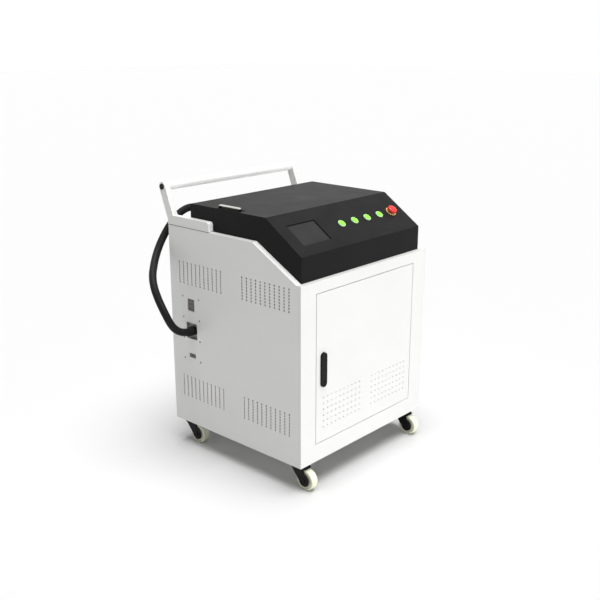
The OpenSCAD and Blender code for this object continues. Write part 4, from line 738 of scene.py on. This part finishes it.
def makeDoorSeal():
    bm = bmesh.new()
    half, width, depth = doorSeal["halfWidth"], doorSeal["width"], doorSeal["depth"]
    low, high = doorSeal["low"], doorSeal["high"]
    for side in (-1, 1):
        addBlock(bm, (side * (half - width / 2), doorSeal["y"], (low + high) / 2), (width, depth, high - low),
                 doorSeal["bevel"])
    for z in (low + width / 2, high - width / 2):
        addBlock(bm, (0, doorSeal["y"], z), (2 * (half - width), depth, width), doorSeal["bevel"])
    finishPiece("doorSeal", bm, sealRubberAndFootShade, "cabinet")


makeDoorSeal()

filterMat = makeFinish("filterMat", {
    "colour": (0.60, 0.60, 0.58), "tone": (0.74, 0.74, 0.72), "rough": (0.85, 0.95), "grain": 420.0, "relief": 0.9,
    "depth": 0.0008, "dust": 0.1})
ventMat = {"xs": (-134.5, 134.5), "y": -321.8, "z": 272.0, "mat": {"size": (232, 2.0, 140), "bevel": 0.8},
           "uprightX": 111.5, "lengthZ": 65.5, "stripY": -320.9, "upright": {"size": (9.0, 3.6, 142), "bevel": 0.8},
           "length": {"size": (214, 3.6, 9.0), "bevel": 0.8}}


# Each mat is held by two upright strips and two lying ones
def makeVentMats():
    mats, strips = bmesh.new(), bmesh.new()
    y, z = ventMat["stripY"], ventMat["z"]
    for x in ventMat["xs"]:
        addBlock(mats, (x, ventMat["y"], z), **ventMat["mat"])
        for end in (-1, 1):
            addBlock(strips, (x + end * ventMat["uprightX"], y, z), **ventMat["upright"])
            addBlock(strips, (x, y, z + end * ventMat["lengthZ"]), **ventMat["length"])
    finishPiece("doorFilterMats", mats, filterMat, "door")
    finishPiece("doorMatStrips", strips, galvanised, "door")


makeVentMats()

# The plate under the lift bar and the two blocks over its ends are matte black to stand in for the dark shadow round
# the bar: painted shadow
liftShadowBlack = makeFinish("liftShadowBlack", {
    "colour": (0.006, 0.006, 0.006), "tone": (0.009, 0.009, 0.009), "rough": (0.7, 0.85), "grain": 900.0,
    "relief": 0.3, "dust": 0.01, "sockets": {"Specular IOR Level": 0.04}})

liftBarShadowPlate = {"middle": (-305, 38.5, 944.4), "plate": {"size": (37, 104, 1.0), "bevel": 0.5},
             "bootsAt": ((-311, -10.0, 948.4), (-311, 87.0, 948.4)), "boot": {"size": (11.0, 6.0, 7.6), "bevel": 1.0}}
bm = bmesh.new()
addBlock(bm, liftBarShadowPlate["middle"], **liftBarShadowPlate["plate"])
for middle in liftBarShadowPlate["bootsAt"]:
    addBlock(bm, middle, **liftBarShadowPlate["boot"])
finishPiece("liftBarShadowPlate", bm, liftShadowBlack, "cabinet")
print("trim made")


# Casters: a pressed ring and a washer on each cheek

casterTrim = {"x": 303, "y": 278, "trail": 35, "axleZ": 37.5, "cheekFace": 18.5,
              "ring": {"profile": [(15.2, -0.2), (15.6, 0.7), (16.4, 1.1), (17.6, 1.1), (18.4, 0.7), (18.8, -0.2)],
                       "steps": 40},
              "washer": {"profile": [(4.0, 0.0), (9.6, 0.0), (9.6, 0.8), (9.1, 1.2), (4.0, 1.2)], "steps": 28}}


def makeCasterTrim(side, end, label):
    bm = bmesh.new()
    for out in (-1, 1):
        face = (side * casterTrim["x"] + out * casterTrim["cheekFace"], end * casterTrim["y"] - casterTrim["trail"],
                casterTrim["axleZ"])
        addTurned(bm, face, (out, 0, 0), **casterTrim["ring"])
        addTurned(bm, face, (out, 0, 0), **casterTrim["washer"])
    finishPiece("forkTrim_" + label, bm, casterBlack, "fork_" + label)


for end, endName in ((-1, "front"), (1, "rear")):
    for side, sideName in ((-1, "left"), (1, "right")):
        makeCasterTrim(side, end, endName + "_" + sideName)
print("caster trim made")


# Connector panel: bars and screw recesses of the breaker, rim and insert of the data port

breakerTrim = {"barX": -347.6, "y": 217.0, "barZs": (556.0, 588.0), "bar": {"size": (0.5, 1.0, 11.0), "bevel": 0.15},
               "recessX": -347.5, "recessYs": (208.0, 226.0), "recessZs": (555.0, 589.0),
               "recess": {"profile": [(0.0, 0.15), (1.15, 0.15), (1.38, 0.35), (2.3, 0.3), (2.3, 0.0)], "steps": 20}}
bm = bmesh.new()
for barZ, recessZ in zip(breakerTrim["barZs"], breakerTrim["recessZs"]):
    addBlock(bm, (breakerTrim["barX"], breakerTrim["y"], barZ), **breakerTrim["bar"])
    for recessY in breakerTrim["recessYs"]:
        addTurned(bm, (breakerTrim["recessX"], recessY, recessZ), toLeft, **breakerTrim["recess"])
finishPiece("breakerMarks", bm, darkPlastic, "cabinet")

dataTrim = {"rim": {"middle": (-349.0, 217.0, 375.0), "size": (0.8, 35.0, 14.4), "bevel": 0.3},
            "insert": {"middle": (-349.3, 217.0, 375.0), "size": (0.9, 22.0, 4.4), "bevel": 0.2}}
bm = bmesh.new()
addBlock(bm, **dataTrim["rim"])
finishPiece("dataPortRim", bm, togglePlastic, "cabinet")
bm = bmesh.new()
addBlock(bm, **dataTrim["insert"])
finishPiece("dataPortInsert", bm, displayGrey, "cabinet")
print("connector trim made")


# Inside: fronts of the laser source, control unit and power supply, the tank's cap and gauge, the pump's fittings

# Places of a number of pieces, evenly apart about a middle
def spaced(middle, count, pitch):
    return [middle + (i - (count - 1) / 2) * pitch for i in range(count)]


laserFront = {
    "face": -239.0, "plate": {"middle": (-70, -237.0, 540), "size": (448, 4.0, 144), "bevel": 1.2},
    "ribs": 9, "ribPitch": 7, "ribAt": (56, -239.3, 522), "rib": {"size": (3.2, 1.2, 52), "bevel": 0.5},
    "handleXs": (-262, 122), "gripAt": (-261.0, 540), "grip": {"size": (9, 9, 79), "bevel": 3.0, "segments": 3},
    "postY": -250.0, "postZs": (505, 575), "post": {"size": (9, 22, 9), "bevel": 2.0, "segments": 3},
    "portXs": (-180, -140, -100), "portZ": 520,
    "port": {"profile": [(0, 2.5), (5, 2.5), (6, 8), (9, 8), (9.4, 7), (9.4, 2.6), (13, 2.2), (13, 0)]},
    "lampXs": (-40, -22, -4), "lampZ": 578,
    "lamp": {"profile": [(0, 3.6), (2.2, 3.2), (3.4, 2.0), (3.6, 0.6), (5, 0.4), (5, 0)], "steps": 24}}


def makeLaserFront():
    plate, metal, lamps = bmesh.new(), bmesh.new(), bmesh.new()
    addBlock(plate, **laserFront["plate"])
    ribX, ribY, ribZ = laserFront["ribAt"]
    for x in spaced(ribX, laserFront["ribs"], laserFront["ribPitch"]):
        addBlock(plate, (x, ribY, ribZ), **laserFront["rib"])
    for x in laserFront["handleXs"]:
        addBlock(metal, (x, *laserFront["gripAt"]), **laserFront["grip"])
        for z in laserFront["postZs"]:
            addBlock(metal, (x, laserFront["postY"], z), **laserFront["post"])
    for x in laserFront["portXs"]:
        addTurned(metal, (x, laserFront["face"], laserFront["portZ"]), toFront, **laserFront["port"])
    for x in laserFront["lampXs"]:
        addTurned(lamps, (x, laserFront["face"], laserFront["lampZ"]), toFront, **laserFront["lamp"])
    finishPiece("laserFrontPlate", plate, laserCase, "cabinet")
    finishPiece("laserHandles", metal, brightSteel, "cabinet")
    finishPiece("laserLamps", lamps, greenCap, "cabinet")


makeLaserFront()

controlFront = {
    "x": 245, "ways": 7, "pitch": 12.0, "blockY": -201.0, "blockZs": (482, 516),
    "block": {"size": (11.4, 12, 17), "bevel": 0.8}, "screwY": -207.0, "screwRaise": 3,
    "screw": {"profile": [(0, 0.4), (2.4, 0.4), (2.8, 1.0), (3.6, 0.8), (3.6, 0)], "steps": 20}}


def makeControlFront():
    blocks, screws = bmesh.new(), bmesh.new()
    for z in controlFront["blockZs"]:
        screwZ = z + controlFront["screwRaise"]
        for x in spaced(controlFront["x"], controlFront["ways"], controlFront["pitch"]):
            addBlock(blocks, (x, controlFront["blockY"], z), **controlFront["block"])
            addTurned(screws, (x, controlFront["screwY"], screwZ), toFront, **controlFront["screw"])
    # The terminal blocks hold no lamp, so their faint glow from the green cap finish is painted light
    finishPiece("controlTerminals", blocks, greenCap, "cabinet")
    finishPiece("controlTerminalScrews", screws, brightSteel, "cabinet")


makeControlFront()

supplyFront = {
    "x": -225, "z": 122.0, "ways": 9, "pitch": 14.0, "stripY": -242.0, "strip": {"size": (132, 4, 26), "bevel": 1.0},
    "wallY": -249.0, "wall": {"size": (2.0, 14, 24), "bevel": 0.5}, "screwY": -244.0,
    "screw": {"profile": [(0, 1.6), (1.2, 1.6), (1.6, 2.6), (4.2, 2.2), (4.6, 1.2), (4.6, 0)], "steps": 24},
    "slots": 10, "slotPitch": 12, "slotY": -240.4, "slotZ": 178, "slot": {"size": (5, 1.0, 44), "bevel": 0.4}}


def makeSupplyFront():
    blocks, screws, slots = bmesh.new(), bmesh.new(), bmesh.new()
    middleX, z, ways, pitch = (supplyFront[key] for key in ("x", "z", "ways", "pitch"))
    addBlock(blocks, (middleX, supplyFront["stripY"], z), **supplyFront["strip"])
    for x in spaced(middleX, ways + 1, pitch):
        addBlock(blocks, (x, supplyFront["wallY"], z), **supplyFront["wall"])
    for x in spaced(middleX, ways, pitch):
        addTurned(screws, (x, supplyFront["screwY"], z), toFront, **supplyFront["screw"])
    # The slots are dark grey bars on the face, standing in for the shade inside the openings: painted shade
    for x in spaced(middleX, supplyFront["slots"], supplyFront["slotPitch"]):
        addBlock(slots, (x, supplyFront["slotY"], supplyFront["slotZ"]), **supplyFront["slot"])
    finishPiece("supplyTerminals", blocks, darkPlastic, "cabinet")
    finishPiece("supplyTerminalScrews", screws, brightSteel, "cabinet")
    finishPiece("supplySlotShades", slots, displayGrey, "cabinet")


makeSupplyFront()

tankTrim = {
    "capAt": (-142, 170, 317),
    "cap": {"profile": [(0, 12), (25, 12), (26, 10.8), (28.8, 10.8), (30, 9.8), (30, 0), (0, 0)], "steps": 48},
    "ribs": 24, "ribCircle": 30.2, "ribRaise": 5, "rib": {"size": (3.0, 2.2, 9), "bevel": 0.6},
    "gauge": {"middle": (-142, 73.6, 199), "size": (12, 2.6, 150), "bevel": 1.0},
    "marks": 7, "markPitch": 22, "markAt": (-130, 74.3, 199), "mark": {"size": (7, 1.2, 1.6), "bevel": 0.4}}


def makeTankTrim():
    cap, gauge = bmesh.new(), bmesh.new()
    addTurned(cap, tankTrim["capAt"], toTop, **tankTrim["cap"])
    x, y, z = tankTrim["capAt"]
    reach = tankTrim["ribCircle"]
    for i in range(tankTrim["ribs"]):
        angle = i * 2 * math.pi / tankTrim["ribs"]
        ribAt = (x + reach * math.cos(angle), y + reach * math.sin(angle), z + tankTrim["ribRaise"])
        addBlock(cap, ribAt, turn=Matrix.Rotation(angle, 4, "Z"), **tankTrim["rib"])
    addBlock(gauge, **tankTrim["gauge"])
    markX, markY, middleZ = tankTrim["markAt"]
    for markZ in spaced(middleZ, tankTrim["marks"], tankTrim["markPitch"]):
        addBlock(gauge, (markX, markY, markZ), **tankTrim["mark"])
    finishPiece("tankCap", cap, darkPlastic, "cabinet")
    finishPiece("tankGauge", gauge, displayGrey, "cabinet")


makeTankTrim()

pumpTrim = {
    "axis": (-60, 155), "ribs": 7, "ribX": 55, "ribPitch": 15,
    "rib": {"profile": [(42.6, 0), (45.6, 0.5), (45.6, 2.5), (42.6, 3)], "steps": 48},
    "box": {"middle": (48, -60, 209), "size": (54, 42, 24), "bevel": 3.0, "segments": 3},
    "outletAt": (135, -60, 203),
    "outlet": {"profile": [(0, 16), (7, 16), (7.5, 15), (7.5, 11), (9.5, 9), (9.5, 0), (0, 0)]},
    "bolts": 6, "boltX": 150, "boltCircle": 41.0, "firstBolt": 30,
    "bolt": {"profile": [(0, 3.2), (3.6, 3.2), (4.2, 2.6), (4.2, 0)], "steps": 24},
    "lidScrewXs": (27, 69), "lidScrewYs": (-75, -45), "lidZ": 221,
    "lidScrew": {"profile": [(0, 2.2), (2.4, 2.0), (3.0, 1.2), (3.0, 0)], "steps": 20}}


def makePumpTrim():
    body, bolts = bmesh.new(), bmesh.new()
    for x in spaced(pumpTrim["ribX"], pumpTrim["ribs"], pumpTrim["ribPitch"]):
        addTurned(body, (x, *pumpTrim["axis"]), toRight, **pumpTrim["rib"])
    addBlock(body, **pumpTrim["box"])
    addTurned(body, pumpTrim["outletAt"], toTop, **pumpTrim["outlet"])
    y, z = pumpTrim["axis"]
    reach = pumpTrim["boltCircle"]
    for i in range(pumpTrim["bolts"]):
        angle = math.radians(pumpTrim["firstBolt"] + i * 360 / pumpTrim["bolts"])
        boltAt = (pumpTrim["boltX"], y + reach * math.cos(angle), z + reach * math.sin(angle))
        addTurned(bolts, boltAt, toRight, **pumpTrim["bolt"])
    for x in pumpTrim["lidScrewXs"]:
        for y in pumpTrim["lidScrewYs"]:
            addTurned(bolts, (x, y, pumpTrim["lidZ"]), toTop, **pumpTrim["lidScrew"])
    finishPiece("pumpBodyTrim", body, pumpPaint, "cabinet")
    finishPiece("pumpBolts", bolts, brightSteel, "cabinet")


makePumpTrim()

radiatorTrim = {
    "tanksAt": ((67, 264, 262), (263, 264, 262)), "tank": {"size": (13, 40, 184), "bevel": 4.0, "segments": 3},
    "pipesAt": ((67, 244, 190), (67, 244, 334)),
    "pipe": {"profile": [(0, 22), (7, 22), (8.2, 20), (7.2, 17), (7.2, 2), (11, 0), (0, 0)]}}
bm = bmesh.new()
for middle in radiatorTrim["tanksAt"]:
    addBlock(bm, middle, **radiatorTrim["tank"])
for middle in radiatorTrim["pipesAt"]:
    addTurned(bm, middle, toFront, **radiatorTrim["pipe"])
finishPiece("radiatorTanks", bm, radiatorAlloy, "cabinet")
print("inside fittings made")


# Cleaning head: clamping ring on the nozzle, screws and button on the case

nozzleRing = {"middle": (250, 360, 432), "bore": 20.1, "radius": 23.0, "height": 16, "chamfer": 0.6, "steps": 56,
              "grooves": 6, "groovePitch": 2.2, "groove": ((0, 1.6), (0.8, 2.1), (0.8, 2.4), (0, 2.9))}


# The first groove is given as (depth, height) pairs, and the others follow it
def makeNozzleRing():
    bore, radius, height, chamfer = (nozzleRing[key] for key in ("bore", "radius", "height", "chamfer"))
    profile = [(bore, 0), (radius - chamfer, 0), (radius, chamfer)]
    for i in range(nozzleRing["grooves"]):
        profile += [(radius - deep, up + i * nozzleRing["groovePitch"]) for deep, up in nozzleRing["groove"]]
    profile += [(radius, height - chamfer), (radius - chamfer, height), (bore, height)]
    bm = bmesh.new()
    addTurned(bm, nozzleRing["middle"], toTop, profile, nozzleRing["steps"])
    finishPiece("nozzleRing", bm, headAlloy, "cabinet")


makeNozzleRing()

headScrews = {"xs": (226, 274), "y": 386, "zs": (480, 550), "scale": 0.6}
makeScrews("headScrews", [(x, headScrews["y"], z) for x in headScrews["xs"] for z in headScrews["zs"]],
           brightSteel, headScrews["scale"])

headButton = {"middle": (250, 386, 534), "profile": [(0, 3.4), (4.6, 3.2), (5.4, 2.4), (5.6, 1.0), (8, 0.8), (8.4, 0)]}
bm = bmesh.new()
addTurned(bm, direction=toBack, **headButton)
finishPiece("headButton", bm, redCap, "cabinet")
print("head trim made")


# Floor, light and background

floorSetup = {"size": 60.0, "colour": (0.86, 0.86, 0.86), "rough": 0.9, "specular": 0.1, "glow": 0.02}
lightSetup = {"ambient": 0.12,
              "overhead": {"energy": 3.15, "angle": 48.0, "from": (0.0, -0.1, 1.0)},
              "front": {"energy": 1.80, "angle": 25.0, "from": (0.0, -1.0, 0.40)}}


# The floor shines a little of its own, for the camera alone
def makeFloor():
    bm = bmesh.new()
    bmesh.ops.create_grid(bm, x_segments=1, y_segments=1, size=floorSetup["size"] / 2)
    mesh = bpy.data.meshes.new("floor")
    bm.to_mesh(mesh)
    bm.free()
    paint = bpy.data.materials.new("floorPaint")
    paint.use_nodes = True
    tree = paint.node_tree
    shader = tree.nodes["Principled BSDF"]
    shader.inputs["Base Color"].default_value = (*floorSetup["colour"], 1)
    shader.inputs["Roughness"].default_value = floorSetup["rough"]
    shader.inputs["Specular IOR Level"].default_value = floorSetup["specular"]
    shader.inputs["Emission Color"].default_value = (1, 1, 1, 1)
    cameraRay = tree.nodes.new("ShaderNodeLightPath").outputs["Is Camera Ray"]
    tree.links.new(addMath(tree, "MULTIPLY", cameraRay, floorSetup["glow"]), shader.inputs["Emission Strength"])
    mesh.materials.append(paint)
    piece = bpy.data.objects.new("floor", mesh)
    bpy.context.collection.objects.link(piece)
    return piece


def hangLamp(name, setup):
    lampData = bpy.data.lights.new(name, "SUN")
    lampData.energy = setup["energy"]
    lampData.angle = math.radians(setup["angle"])
    lamp = bpy.data.objects.new(name, lampData)
    lamp.rotation_euler = Vector(setup["from"]).to_track_quat("Z", "Y").to_euler()
    bpy.context.collection.objects.link(lamp)
    return lamp


floor = makeFloor()
hangLamp("overheadLamp", lightSetup["overhead"])
frontLamp = hangLamp("frontLamp", lightSetup["front"])

# The front lamp passes the floor over, so only the overhead one draws the shadow there
passedOver = bpy.data.collections.new("passedOver")
passedOver.objects.link(floor)
passedOver.collection_objects[0].light_linking.link_state = "EXCLUDE"
frontLamp.light_linking.receiver_collection = passedOver

# White to the camera and in reflections, but dim as a light
world = bpy.context.scene.world or bpy.data.worlds.new("studio")
bpy.context.scene.world = world
world.use_nodes = True
worldTree = world.node_tree
worldTree.nodes.clear()
background = worldTree.nodes.new("ShaderNodeBackground")
worldOut = worldTree.nodes.new("ShaderNodeOutputWorld")
rays = worldTree.nodes.new("ShaderNodeLightPath")
seen = addMath(worldTree, "MAXIMUM", rays.outputs["Is Camera Ray"],
               addMath(worldTree, "MAXIMUM", rays.outputs["Is Glossy Ray"], rays.outputs["Is Transmission Ray"]))
background.inputs["Color"].default_value = (1, 1, 1, 1)
worldTree.links.new(addRange(worldTree, seen, 0.0, 1.0, lightSetup["ambient"], 1.0), background.inputs["Strength"])
worldTree.links.new(background.outputs[0], worldOut.inputs["Surface"])
bpy.context.scene.view_settings.view_transform = "Standard"
print("floor and light set")
